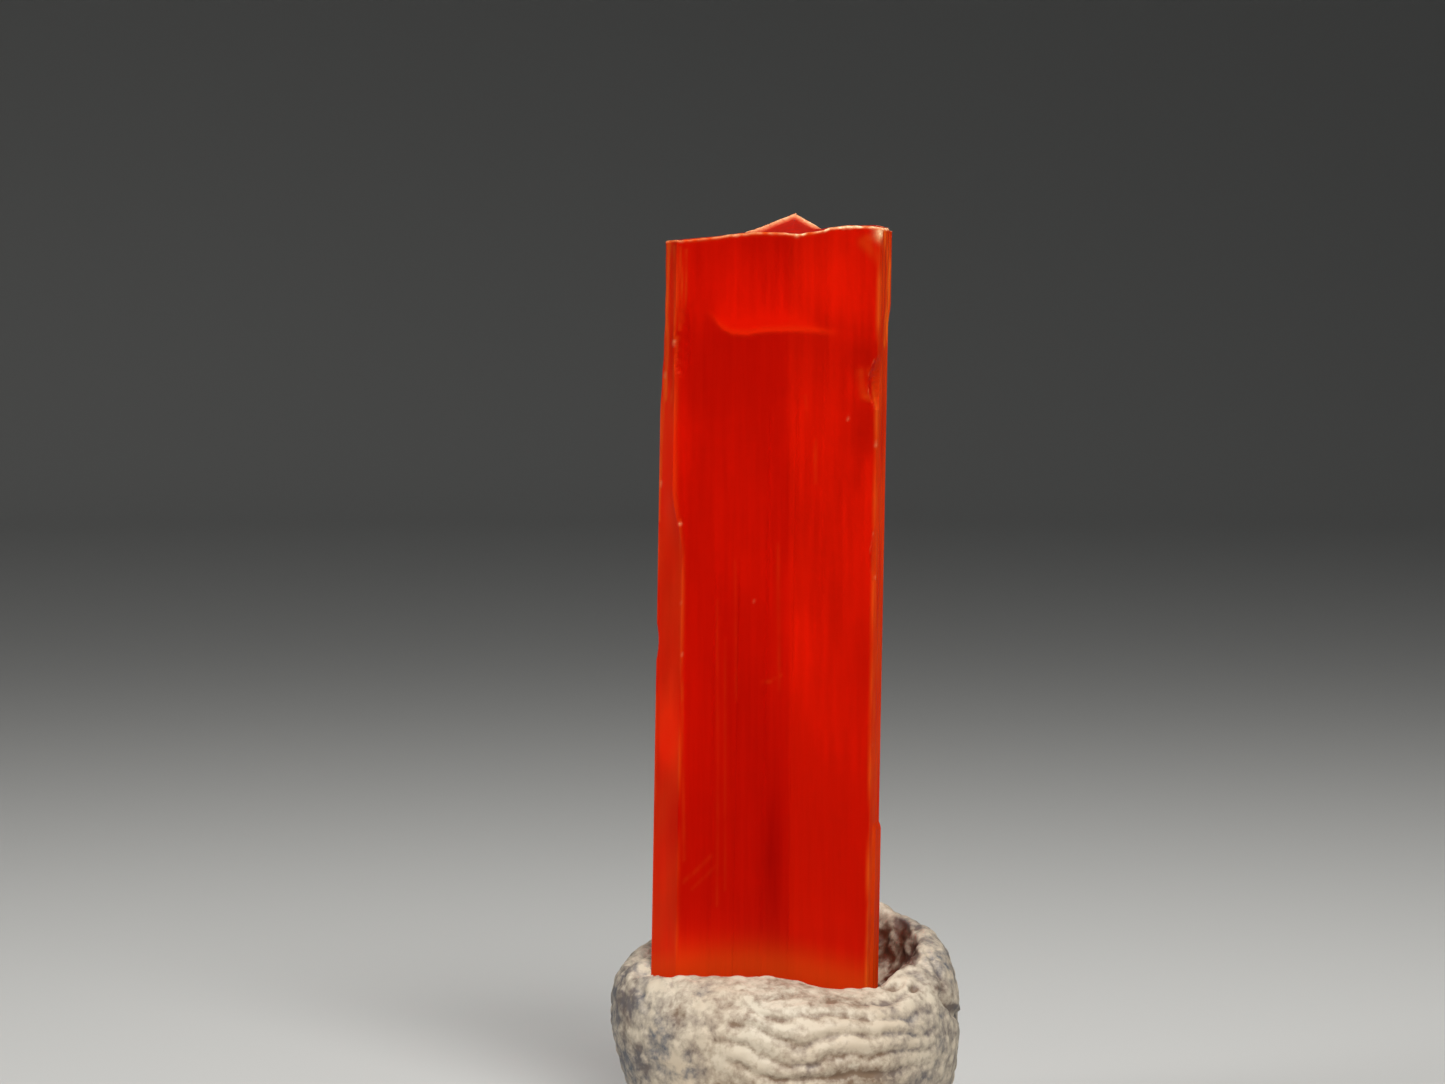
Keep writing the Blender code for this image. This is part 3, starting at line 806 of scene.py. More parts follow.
def crystal_mesh():
    """The finished crystal before its striations, in its own frame, with its wear as attributes."""
    grid = PrismGrid()
    raise_ledges(grid)
    points = grid.points
    bruise_and_glint = crush_rim(grid)
    # Painted glow: the thin sides, the upright edges and the end's rim are painted orange, as light
    # let through them.
    warmth = np.array(list(SIDE_WARMTH.values()))[grid.side]
    uneven = np.clip(0.6 + 0.5 * ripple(points * (1, 1, 0.30), 0.25, 23), 0, 1)
    edge = warmth * (0.5 + 0.5 * uneven)
    glow = np.exp(-(grid.edge_distance / EDGE_GLOW_WIDTH) ** 2)
    glow = np.where(points[..., 0] < 0, LEFT_EDGE_GLOW, RIGHT_EDGE_GLOW) * glow
    edge = np.maximum(edge, glow * uneven)
    edge = np.maximum(edge, RIM_GLOW * np.exp(-(grid.rim_distance / EDGE_GLOW_WIDTH) ** 2))
    knock_chips(points, bruise_and_glint, edge)
    tone_and_painted_light, orange, pale, haze = paint_front(points, grid.side[None], grid.edge_distance[None])
    # The orange of the front joins it: painted glow, the painted glow of the putty's lip through the
    # foot, and some scratches and streaks.
    edge = np.maximum(edge, orange)
    # Pale crushed spots and painted highlights join the crushed rim.
    bruise_and_glint = np.maximum(bruise_and_glint, pale)
    tone_and_painted_light = tone_and_painted_light + 0.06 * ripple(points * (1, 1, 0.4), 1.2, 29)
    strength = np.array(list(STRIA_STRENGTH.values()))[grid.side]
    strength = strength * smooth(0, CORNER_HOLD, grid.edge_distance)
    strength = strength[None] * smooth(0.05, 0.30, grid.rim_distance)

    # The end is covered by rings that close in on its middle.
    rim = points[-1]
    centre = rim[:, :2].mean(axis=0)
    ring = np.arange(1, CAP_RINGS)[:, None]
    share = 1 - (ring / CAP_RINGS) ** 1.3
    across = centre + (rim[None, :, :2] - centre) * share[..., None]
    x, y = across[..., 0], across[..., 1]
    sag = (rim[:, 2] - end_height(rim[:, 0], rim[:, 1])) * share ** 25
    hackle = sum(height * ripple(across, size, seed) for height, size, seed in HACKLES)
    cap = np.dstack([x, y, end_height(x, y) + sag + hackle * smooth(0, 4, ring)])
    cap_edge, cap_bruise_and_glint = np.full(x.shape, END_WARMTH), np.zeros(x.shape)
    knock_chips(cap, cap_bruise_and_glint, cap_edge)
    rim_noise = np.clip(0.5 + 0.6 * ripple(across, 0.15, 33), 0, 1)
    rim_frost = rim_noise * np.interp(x, *np.array(RIM_FROST).T)
    cap_bruise_and_glint = np.maximum(cap_bruise_and_glint, np.exp(-((ring - 1) / 1.3) ** 2) * rim_frost)
    # The back lip is painted pale, partly crushed powder and partly a painted highlight along the rim.
    lip = np.exp(-(back_distance(x, y) / (0.5 * BACK_LIP_WIDTH)) ** 2)
    lip = lip * smooth(0.02, 0.15, wedge_height(x, y))
    cap_bruise_and_glint = np.maximum(cap_bruise_and_glint, lip * (0.75 + 0.25 * rim_noise))
    blank = np.zeros(x.shape)

    every = np.concatenate([points, cap])
    fields = {
        "tone_and_painted_light": np.concatenate([tone_and_painted_light, blank + END_TONE]),
        "edge": np.concatenate([edge, cap_edge]),
        "bruise_and_glint": np.concatenate([bruise_and_glint, cap_bruise_and_glint]),
        "haze": np.concatenate([haze, blank + END_HAZE]),
        "strength": np.concatenate([strength, blank]),
        "girth": np.repeat(grid.girth[None], len(every), axis=0),
        "along": every[..., 2],
    }
    return grid_mesh("crocoite_crystal", every, fields, np.repeat(grid.out[None], len(every), axis=0))


def grid_mesh(name, points, fields, out):
    """A closed mesh from rings of points, capped at both ends, with point attributes."""
    rows, columns = points.shape[:2]
    flat = points.reshape(-1, 3)
    row, column = np.meshgrid(np.arange(rows - 1), np.arange(columns), indexing="ij")
    here, after = row * columns + column, row * columns + (column + 1) % columns
    quads = np.stack([here, after, after + columns, here + columns], axis=-1).reshape(-1, 4)
    first = np.arange(columns)
    last = (rows - 1) * columns + first
    foot = np.stack([np.full(columns, len(flat)), np.roll(first, -1), first], axis=1)
    end = np.stack([np.full(columns, len(flat) + 1), last, np.roll(last, -1)], axis=1)
    middles = np.array([flat[first].mean(axis=0), flat[last].mean(axis=0)])
    mesh = bpy.data.meshes.new(name)
    faces = quads.tolist() + foot.tolist() + end.tolist()
    mesh.from_pydata(np.concatenate([flat, middles]) * MM, [], faces)
    for label, values in fields.items():
        store(mesh, label, np.concatenate([values.ravel(), [0, 0]]))
    ends = [(0, 0, -1), (0, 0, 1)]
    store(mesh, "out", np.concatenate([out.reshape(-1, 3), ends]), "FLOAT_VECTOR")
    return mesh


def striation_tree():
    """Growth striations: thin plates of random width and length, raised by a hair's breadth.

    A one-dimensional cell pattern round the girth gives each plate its width. The cell's random
    colour gives its height, its middle along the prism and its length.
    """
    tree, given = geometry_tree("Growth Striations", ("Spacing", "Relief", "Prism Length", "Seed"))
    girth = add(tree, "GeometryNodeInputNamedAttribute", {"Name": "girth"})
    along = add(tree, "GeometryNodeInputNamedAttribute", {"Name": "along"})
    strength = add(tree, "GeometryNodeInputNamedAttribute", {"Name": "strength"})
    outward = add(
        tree, "GeometryNodeInputNamedAttribute", {"Name": "out"}, data_type="FLOAT_VECTOR"
    )
    spacing = add(tree, MATH, {0: given["Spacing"], 1: MM}, operation="DIVIDE")
    length = add(tree, MATH, {0: given["Prism Length"], 1: MM}, operation="DIVIDE")
    total = None
    for scale, weight in STRIA_LAYERS:
        width = add(tree, MATH, {0: spacing, 1: scale}, operation="MULTIPLY")
        place = add(tree, MATH, {0: girth, 1: width}, operation="DIVIDE")
        place = add(
            tree, MATH, {0: given["Seed"], 1: 31.7 + scale, 2: place}, operation="MULTIPLY_ADD"
        )
        cell = add(
            tree, "ShaderNodeTexVoronoi", {"W": place, "Scale": 1.0}, voronoi_dimensions="1D"
        )
        dice = add(tree, "FunctionNodeSeparateColor", {"Color": cell.outputs["Color"]}).outputs
        middle = add(tree, MATH, {0: dice["Green"], 1: length}, operation="MULTIPLY")
        half = add(
            tree, MATH, {0: dice["Blue"], 1: 9.0 * scale, 2: 1.5}, operation="MULTIPLY_ADD"
        )
        gap = add(tree, MATH, {0: along, 1: middle}, operation="SUBTRACT")
        gap = add(tree, MATH, {0: gap}, operation="ABSOLUTE")
        inside = add(tree, MATH, {0: half, 1: gap}, operation="SUBTRACT")
        present = add(tree, MATH, {0: inside, 1: 0.15}, operation="DIVIDE", use_clamp=True)
        height = add(tree, MATH, {0: dice["Red"], 1: 0.45}, operation="SUBTRACT")
        height = add(tree, MATH, {0: height, 1: weight}, operation="MULTIPLY")
        plate = add(tree, MATH, {0: height, 1: present}, operation="MULTIPLY")
        total = plate if total is None else add(tree, MATH, {0: total, 1: plate}, operation="ADD")
    relief = add(tree, MATH, {0: strength, 1: given["Relief"]}, operation="MULTIPLY")
    lift = add(tree, MATH, {0: total, 1: relief}, operation="MULTIPLY")
    offset = add(tree, "ShaderNodeVectorMath", {0: outward, "Scale": lift}, operation="SCALE")
    moved = add(
        tree, "GeometryNodeSetPosition", {"Geometry": given["Geometry"], "Offset": offset}
    )
    finish_tree(tree, given, moved)
    return tree


def grain_tree():
    """Crushed grains: tiny crumbs of crystal, strewn where the surface is bruised."""
    tree, given = geometry_tree("Crushed Grains", ("Grain Size", "Density", "Seed"))
    bruise_and_glint = add(tree, "GeometryNodeInputNamedAttribute", {"Name": "bruise_and_glint"})
    crushed = add(tree, MATH, {0: bruise_and_glint, 1: 0.35}, operation="SUBTRACT", use_clamp=True)
    density = add(tree, MATH, {0: crushed, 1: given["Density"]}, operation="MULTIPLY")
    points = add(
        tree, "GeometryNodeDistributePointsOnFaces",
        {"Mesh": given["Geometry"], "Density": density, "Seed": given["Seed"]},
    )
    size = add(
        tree, "FunctionNodeRandomValue",
        {"Min": (0.3, 0.3, 0.3), "Max": (1.0, 1.0, 1.0), "Seed": given["Seed"]},
        data_type="FLOAT_VECTOR",
    )
    scale = add(
        tree, "ShaderNodeVectorMath", {0: size, "Scale": given["Grain Size"]}, operation="SCALE"
    )
    turn = add(
        tree, "FunctionNodeRandomValue",
        {"Min": (0, 0, 0), "Max": (6.28, 6.28, 6.28), "Seed": given["Seed"]},
        data_type="FLOAT_VECTOR",
    )
    crumb = add(tree, "GeometryNodeMeshIcoSphere", {"Radius": 1.0, "Subdivisions": 1})
    placed = add(
        tree, "GeometryNodeInstanceOnPoints",
        {"Points": points, "Instance": crumb, "Rotation": turn, "Scale": scale},
    )
    real = add(tree, "GeometryNodeRealizeInstances", {"Geometry": placed})
    marked = add(
        tree, "GeometryNodeStoreNamedAttribute", {"Geometry": real, "Name": "bruise_and_glint", "Value": 0.9}
    )
    both = add(tree, "GeometryNodeJoinGeometry", {"Geometry": given["Geometry"]})
    tree.links.new(marked.outputs["Geometry"], both.inputs["Geometry"])
    finish_tree(tree, given, both)
    return tree


def empty_material(name):
    """A material with a bare node tree."""
    look = bpy.data.materials.new(name)
    look.use_nodes = True
    look.node_tree.nodes.clear()
    return look, look.node_tree


def crocoite_material():
    """Crocoite: lead chromate, grown from hot water along its length.

    It is see-through and deep orange-red, softly shining on its faces, with a painted orange glow
    where it is thin, painted light and shade across its front, and whitish where rims and chips are
    crushed to powder, with painted highlights on the rims. Its real refractive index is about 2.3.
    That mirrors so much of a pale room that the red washes out, so a lower one is set, and the
    reflection takes the crystal's tint.
    """
    look, tree = empty_material("crocoite")
    chosen = settings("crystal")
    place = add(tree, "ShaderNodeTexCoord").outputs["Object"]
    # Fine streaks along the prism, about 0.06 mm wide and drawn out twenty times.
    upright = add(
        tree, "ShaderNodeMapping",
        {"Vector": place, "Rotation": (0, -math.radians(LEAN_DEG), 0), "Scale": (1, 1, 0.05)},
    )
    streaks = add(
        tree, NOISE, {"Vector": upright, "Scale": 1 / (0.12 * MM), "Detail": 3.0, "Roughness": 0.6}
    )
    # Cloudy zones inside the crystal, one or two millimetres across.
    clouds = add(
        tree, NOISE, {"Vector": place, "Scale": 1 / (1.8 * MM), "Detail": 4.0, "Roughness": 0.55}
    )
    # Crushed powder, in grains of about 0.04 mm.
    powder = add(tree, NOISE, {"Vector": place, "Scale": 1 / (0.07 * MM), "Detail": 2.0})
    marks = {
        name: add(tree, "ShaderNodeAttribute", attribute_name=name).outputs["Fac"]
        for name in ("tone_and_painted_light", "edge", "bruise_and_glint", "haze")
    }
    tone_and_painted_light = add(tree, MATH, {0: streaks, 1: 0.34, 2: 0.33}, operation="MULTIPLY_ADD")
    tone_and_painted_light = add(tree, MATH, {0: clouds, 1: 0.20, 2: tone_and_painted_light}, operation="MULTIPLY_ADD")
    # The stored tone adds the painted light and shade of the front.
    tone_and_painted_light = add(tree, MATH, {0: tone_and_painted_light, 1: marks["tone_and_painted_light"]}, operation="ADD", use_clamp=True)
    colour = add(
        tree, MIX, {0: tone_and_painted_light, 6: (*chosen.deep_colour, 1.0), 7: (*chosen.body_colour, 1.0)},
        data_type="RGBA",
    )
    # Crushed powder, and the painted highlights on the rims and pale spots, take the pale colour.
    grit = add(tree, MATH, {0: powder, 1: 1.5, 2: 0.15}, operation="MULTIPLY_ADD")
    crushed = add(tree, MATH, {0: marks["bruise_and_glint"], 1: grit}, operation="MULTIPLY", use_clamp=True)
    # A crushed place is orange round its edge before it is pale.
    thin = add(tree, MATH, {0: crushed, 1: 2.0, 2: marks["edge"]}, operation="MULTIPLY_ADD")
    thin = add(tree, MATH, {0: thin, 1: 1.0}, operation="MINIMUM")
    # The edge colour paints the glow of thin edges, of the putty's lip through the foot, and the
    # orange light painted on the front.
    colour = add(
        tree, MIX, {0: thin, 6: colour, 7: (*chosen.edge_colour, 1.0)}, data_type="RGBA"
    )
    colour = add(
        tree, MIX, {0: crushed, 6: colour, 7: (*chosen.bruise_colour, 1.0)}, data_type="RGBA"
    )
    # Bright veils inside scatter light, and so do orange and crushed places.
    cloudy = add(tree, MATH, {0: tone_and_painted_light, 1: 0.70}, operation="SUBTRACT", use_clamp=True)
    half_edge = add(tree, MATH, {0: marks["edge"], 1: 0.5}, operation="MULTIPLY")
    for veil in (half_edge, crushed, marks["haze"]):
        cloudy = add(tree, MATH, {0: cloudy, 1: veil}, operation="MAXIMUM")
    clear = add(tree, MATH, {0: cloudy, 1: -0.55, 2: 0.62}, operation="MULTIPLY_ADD", use_clamp=True)
    rough = add(tree, MATH, {0: streaks, 1: 0.12, 2: 0.25}, operation="MULTIPLY_ADD")
    matt = add(tree, MATH, {0: thin, 1: marks["haze"]}, operation="MAXIMUM")
    rough = add(tree, MATH, {0: matt, 1: 0.75, 2: rough}, operation="MULTIPLY_ADD", use_clamp=True)
    relief = add(tree, "ShaderNodeBump", {"Height": streaks, "Strength": 0.12, "Distance": 0.004 * MM})
    shader = add(
        tree, "ShaderNodeBsdfPrincipled",
        {
            "Base Color": colour, "Roughness": rough, "Normal": relief,
            "Transmission Weight": clear, "IOR": 1.45, "Specular Tint": (1.0, 0.10, 0.03, 1.0),
        },
    )
    # Chromate absorbs green and blue light within a fraction of a millimetre.
    inside = add(
        tree, "ShaderNodeVolumeAbsorption", {"Color": (0.996, 0.5, 0.0, 1.0), "Density": 16000.0}
    )
    add(tree, "ShaderNodeOutputMaterial", {"Surface": shader, "Volume": inside})
    return look


def vertex_values(mesh, field):
    """The vertices' co or normal, as an array of doubles."""
    values = np.empty(len(mesh.vertices) * 3, np.float32)
    mesh.vertices.foreach_get(field, values)
    return values.reshape(-1, 3).astype(float)


def move_vertices(mesh, points):
    mesh.vertices.foreach_set("co", points.astype(np.float32).ravel())
    mesh.update()


def kneaded_putty(crystal):
    """The putty's mesh: the solid's form, drawn in round the crystal, creased and dented."""
    work = bmesh.new()
    work.from_mesh(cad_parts["putty"].data)
    bmesh.ops.remove_doubles(work, verts=work.verts, dist=0.001 * MM)
    mesh = bpy.data.meshes.new("putty_lump")
    work.to_mesh(mesh)
    work.free()
    lump = new_object("putty_lump", mesh)
    remesh = lump.modifiers.new("even mesh", "REMESH")
    remesh.mode = "VOXEL"
    remesh.voxel_size = PUTTY_VOXEL * MM
    soften = lump.modifiers.new("soften", "SMOOTH")
    soften.factor = 0.5
    soften.iterations = PUTTY_SMOOTHING
    settle(lump)
    contact = cling(lump.data, crystal)
    press_marks(lump.data, contact)
    return lump


def cling(mesh, crystal):
    """Draws the socket's wall and lip in until the putty all but touches the crystal."""
    tree = BVHTree.FromPolygons(
        [v.co for v in crystal.data.vertices], [p.vertices for p in crystal.data.polygons]
    )
    points = vertex_values(mesh, "co") / MM
    contact = np.zeros(len(points))
    for i, point in enumerate(points):
        spot, _, _, gap = tree.find_nearest(Vector(point) * MM, CLING_REACH * MM)
        if spot is None:
            continue
        gap /= MM
        share = 1 - float(smooth(CLING_FULL, CLING_REACH, np.array(gap)))
        toward = (np.array(spot) / MM - point) / max(gap, 1e-6)
        points[i] += toward * ((min(gap, CLING_FULL) - CLING_GAP) * share)
        contact[i] = share
    points[:, 2] += LIP_WAVE * ripple(points, 0.45, 55) * contact * smooth(3.2, 3.8, points[:, 2])
    move_vertices(mesh, points * MM)
    return contact


def lip_dip(points):
    """How far the front lip sinks below the solid's, over points of the row frame."""
    across, depth = np.array(LIP_DIPS).T
    front = (1 - smooth(-1.2, -0.6, points[:, 1])) * smooth(2.7, 4.0, points[:, 2])
    return np.interp(points[:, 0], across, depth) * front


def press_marks(mesh, contact):
    """Presses creases and dents into the putty, and stores where lumps and prints go."""
    points = vertex_values(mesh, "co") / MM
    normals = vertex_values(mesh, "normal")
    x, y, z = points.T
    loose = (1 - smooth(0.88, 1.0, contact)) * smooth(0.05, 0.9, z)
    places = photo_place(points)
    facing = smooth(-0.25, 0.15, -normals[:, 1])
    lift = np.full(len(points), PUTTY_SWELL)
    for line, width, depth in CREASES:
        gap = line_distance(places, line) / PIXELS_PER_MM
        lift -= depth * np.exp(-(gap / width) ** 2)
    for spot, radius, depth in DENTS:
        reach = radius * PIXELS_PER_MM
        lift -= depth * blob(places, spot, (reach, reach))
    lift = np.where(lift < PUTTY_SWELL, PUTTY_SWELL + (lift - PUTTY_SWELL) * facing, lift)
    points += normals * (lift * loose)[:, None]
    points[:, 2] -= lip_dip(points) * contact
    middle, half_size, height = BACK_LOBE
    points[:, 2] += height * blob(places, middle, half_size) * (y > BACK_LOBE_Y)
    low, high = (np.array(corner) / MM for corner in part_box("putty"))
    high[2] += height
    points = np.clip(points, low, high)
    move_vertices(mesh, points * MM)

    across = (x - PRINT_MIDDLE[0]) / PRINT_HALF_SIZE[0]
    up = (z - PRINT_MIDDLE[1]) / PRINT_HALF_SIZE[1]
    front = (1 - smooth(0.70, 1.05, np.hypot(across, up))) * smooth(-0.2, 0.3, -normals[:, 1])
    back = smooth(0.1, 0.6, ripple(points, 2.4, 61)) * smooth(0.0, 0.4, normals[:, 1])
    steep = smooth(0.25, 0.55, np.hypot(normals[:, 0], normals[:, 1]))
    printed = np.maximum(front, 0.8 * back) * steep * loose
    left_z, right_z = HOLLOW_RIM_Z
    below_rim = left_z + (right_z - left_z) * smooth(*HOLLOW_RIM_X_RANGE, x) - z
    hollow = smooth(-0.3, 0.3, below_rim) * smooth(HOLLOW_X, HOLLOW_X + 0.3, x)
    hollow *= smooth(-1.4, -1.1, y) * (np.hypot(x, y) < HOLLOW_REACH)
    # Grime, with painted shade in the cavities, under the overhang and along the left side and bottom.
    grime_and_shade = 0.12 * ripple(points, 0.6, 71)
    for middle, half_size, amount in GRIME_AND_SHADE:
        grime_and_shade += amount * blob(places, middle, half_size) * facing
    store(mesh, "print", printed)
    # How far round to the side a point is; the material uses it for the darker blue-grey of the sides,
    # partly painted shade.
    store(mesh, "side", smooth(1.6, 3.8, np.abs(x - 0.2)))
    store(mesh, "rough", loose * (1 - 0.75 * printed) * (1 + 0.7 * hollow))
    store(mesh, "grime_and_shade", grime_and_shade)
    store(mesh, "hollow", hollow)


def kneading_tree():
    """Kneaded putty: finger ridges that wander and bend, soft lumps, and pits between them.

    Almost everything is pressed in, so the lump stays inside its solid's box. The height is kept as an
    attribute, because dirt gathers in what is pressed in, and the material paints shade there too.
    """
    labels = (
        "Ridge Spacing", "Ridge Relief", "Ridge Bend", "Ridge Wander", "Lump Size",
        "Lump Relief", "Pit Size", "Pit Relief", "Seed",
    )
    tree, given = geometry_tree("Kneaded Surface", labels)
    place = add(tree, "GeometryNodeInputPosition")
    axes = add(tree, "ShaderNodeSeparateXYZ", {"Vector": place}).outputs
    masks = {
        name: add(tree, "GeometryNodeInputNamedAttribute", {"Name": name})
        for name in ("print", "rough")
    }
    lump_scale = add(tree, MATH, {0: 1.0, 1: given["Lump Size"]}, operation="DIVIDE")
    pit_scale = add(tree, MATH, {0: 1.0, 1: given["Pit Size"]}, operation="DIVIDE")
    fields = {}
    for name, scale, detail in (
        ("wander", 1 / (1.3 * MM), 2.0), ("break", 1 / (0.5 * MM), 1.0), ("lumps", lump_scale, 3.0)
    ):
        fields[name] = add(
            tree, NOISE, {"Vector": place, "W": given["Seed"], "Scale": scale, "Detail": detail},
            noise_dimensions="4D",
        )
    # Left of this place the ridges turn up, as the rim of a fingertip's print does.
    aside = add(tree, MATH, {0: axes["X"], 1: PRINT_TURN_X * MM}, operation="SUBTRACT")
    aside = add(tree, MATH, {0: aside, 1: 0.0}, operation="MINIMUM")
    bend = aside
    for factor in (aside, given["Ridge Bend"], -1.0):
        bend = add(tree, MATH, {0: bend, 1: factor}, operation="MULTIPLY")
    wander = add(tree, MATH, {0: fields["wander"], 1: 0.5}, operation="SUBTRACT")
    level = add(
        tree, MATH, {0: wander, 1: given["Ridge Wander"], 2: axes["Z"]}, operation="MULTIPLY_ADD"
    )
    level = add(tree, MATH, {0: level, 1: bend}, operation="ADD")
    turns = add(tree, MATH, {0: level, 1: given["Ridge Spacing"]}, operation="DIVIDE")
    turns = add(tree, MATH, {0: turns, 1: 2 * math.pi}, operation="MULTIPLY")
    # A square root makes the ridges broad and the furrows between them narrow.
    ridge = add(tree, MATH, {0: turns}, operation="SINE")
    ridge = add(tree, MATH, {0: ridge, 1: 0.5, 2: 0.5}, operation="MULTIPLY_ADD")
    ridge = add(tree, MATH, {0: ridge}, operation="SQRT")
    ridge = add(tree, MATH, {0: ridge, 1: 1.0}, operation="SUBTRACT")
    broken = add(tree, MATH, {0: fields["break"], 1: 3.6, 2: 0.4}, operation="MULTIPLY_ADD")
    for factor in (broken, given["Ridge Relief"], masks["print"]):
        ridge = add(tree, MATH, {0: ridge, 1: factor}, operation="MULTIPLY")
    lump = add(tree, MATH, {0: fields["lumps"], 1: 2.0, 2: -1.5}, operation="MULTIPLY_ADD")
    lump = add(tree, MATH, {0: lump, 1: given["Lump Relief"]}, operation="MULTIPLY")
    cell = add(
        tree, "ShaderNodeTexVoronoi",
        {"Vector": place, "Scale": pit_scale, "Smoothness": 0.4}, feature="SMOOTH_F1",
    )
    pit = add(tree, MATH, {0: cell.outputs["Distance"], 1: 0.55}, operation="DIVIDE", use_clamp=True)
    pit = add(tree, MATH, {0: pit, 1: pit}, operation="MULTIPLY")
    pit = add(tree, MATH, {0: pit, 1: given["Pit Relief"]}, operation="MULTIPLY")
    uneven = add(tree, MATH, {0: lump, 1: pit}, operation="SUBTRACT")
    uneven = add(tree, MATH, {0: uneven, 1: masks["rough"]}, operation="MULTIPLY")
    height = add(tree, MATH, {0: ridge, 1: uneven}, operation="ADD")
    normal = add(tree, "GeometryNodeInputNormal")
    offset = add(tree, "ShaderNodeVectorMath", {0: normal, "Scale": height}, operation="SCALE")
    height_mm = add(tree, MATH, {0: height, 1: MM}, operation="DIVIDE")
    kept = add(
        tree, "GeometryNodeStoreNamedAttribute",
        {"Geometry": given["Geometry"], "Name": "height", "Value": height_mm},
    )
    moved = add(tree, "GeometryNodeSetPosition", {"Geometry": kept, "Offset": offset})
    finish_tree(tree, given, moved)
    return tree


def putty_material():
    """Mounting putty: butyl rubber filled with chalk, kneaded by hand many times over.

    It is matt and slightly waxy, cream where it is clean, and blue-grey or brown in the pits and
    creases, where grime is folded in and painted shade darkens them.
    """
    look, tree = empty_material("putty")
    chosen = settings("putty")
    place = add(tree, "ShaderNodeTexCoord").outputs["Object"]
    # Blotches about 0.2 mm across, flecks of about 0.1 mm, and hues that change over 1.5 mm.
    blotches = add(
        tree, NOISE,
        {"Vector": place, "Scale": 1 / (0.42 * MM), "Detail": 4.0, "Roughness": 0.6,
         "Distortion": 0.4},
    )
    flecks = add(
        tree, NOISE, {"Vector": place, "Scale": 1 / (0.16 * MM), "Detail": 3.0, "Roughness": 0.6}
    )
    hues = add(tree, NOISE, {"Vector": place, "Scale": 1 / (1.5 * MM), "Detail": 3.0})
    marks = {
        name: add(tree, "ShaderNodeAttribute", attribute_name=name).outputs["Fac"]
        for name in ("height", "grime_and_shade", "hollow", "side")
    }
    # Dirt and painted shade fill what is pressed in, the more the deeper, down to 0.12 mm.
    dirt_and_shade = add(
        tree, "ShaderNodeMapRange",
        {"Value": marks["height"], "From Min": -0.045, "From Max": -0.120, "To Max": 0.60},
    )
    dirt_and_shade = add(tree, MATH, {0: blotches, 1: 1.7, 2: dirt_and_shade}, operation="MULTIPLY_ADD")
    dirt_and_shade = add(tree, MATH, {0: flecks, 1: 1.2, 2: dirt_and_shade}, operation="MULTIPLY_ADD")
    dirt_and_shade = add(tree, MATH, {0: dirt_and_shade, 1: marks["grime_and_shade"]}, operation="ADD")
    dirt_and_shade = add(
        tree, "ShaderNodeMapRange",
        {"Value": dirt_and_shade, "From Min": 1.32, "From Max": 2.10, "To Min": 0.0, "To Max": 1.0},
    )
    clean = add(
        tree, MIX, {0: hues, 6: (*chosen.light_colour, 1.0), 7: linear("#B39E84")},
        data_type="RGBA",
    )
    # The grime is brown where a finger wiped the front, and a darker blue-grey round the sides, which
    # is partly grime and partly painted shade.
    cool = add(tree, MATH, {0: hues, 1: 3.0, 2: -1.7}, operation="MULTIPLY_ADD")
    cool = add(tree, MATH, {0: cool, 1: marks["side"]}, operation="ADD", use_clamp=True)
    dark = add(
        tree, MIX, {0: cool, 6: linear("#745D48"), 7: (*chosen.dark_colour, 1.0)},
        data_type="RGBA",
    )
    colour = add(tree, MIX, {0: dirt_and_shade, 6: clean, 7: dark}, data_type="RGBA")
    # The hollow beside the crystal turns a dark red-brown in blotches.
    brown = add(tree, MATH, {0: blotches, 1: 2.6, 2: -0.55}, operation="MULTIPLY_ADD")
    brown = add(tree, MATH, {0: brown, 1: marks["hollow"]}, operation="MULTIPLY", use_clamp=True)
    colour = add(tree, MIX, {0: brown, 6: colour, 7: linear("#4A1F0A")}, data_type="RGBA")
    relief = add(tree, "ShaderNodeBump", {"Height": flecks, "Strength": 0.55, "Distance": 0.02 * MM})
    rough = add(tree, MATH, {0: flecks, 1: 0.35, 2: 0.40}, operation="MULTIPLY_ADD")
    shader = add(
        tree, "ShaderNodeBsdfPrincipled",
        {"Base Color": colour, "Roughness": rough, "Normal": relief, "IOR": 1.5},
    )
    add(tree, "ShaderNodeOutputMaterial", {"Surface": shader})
    return look


class CROCOITE_OT_crystal(bpy.types.Operator):
    """Grow the striated, chipped crocoite crystal over its solid"""

    bl_idname = "crocoite.crystal"
    bl_label = "Crocoite Crystal"

    def execute(self, context):
        chosen = settings("crystal")
        crystal = new_object("crocoite_crystal", crystal_mesh())
        values = {
            "Spacing": chosen.stria_spacing,
            "Relief": chosen.stria_relief,
            "Prism Length": (END_Z - FOOT_Z) * MM,
            "Grain Size": chosen.grain_size,
            "Density": GRAINS_PER_SQUARE_MM / MM ** 2,
            "Seed": chosen.seed,
            "Material": crocoite_material(),
        }
        use_tree(crystal, striation_tree(), values)
        use_tree(crystal, grain_tree(), values)
        settle(crystal)
        crystal.data.transform(placement())
        for helper in ("strength", "girth", "along", "out"):
            crystal.data.attributes.remove(crystal.data.attributes[helper])
        crystal.data.shade_flat()
        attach(crystal, "root")
        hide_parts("crystal")
        return {"FINISHED"}


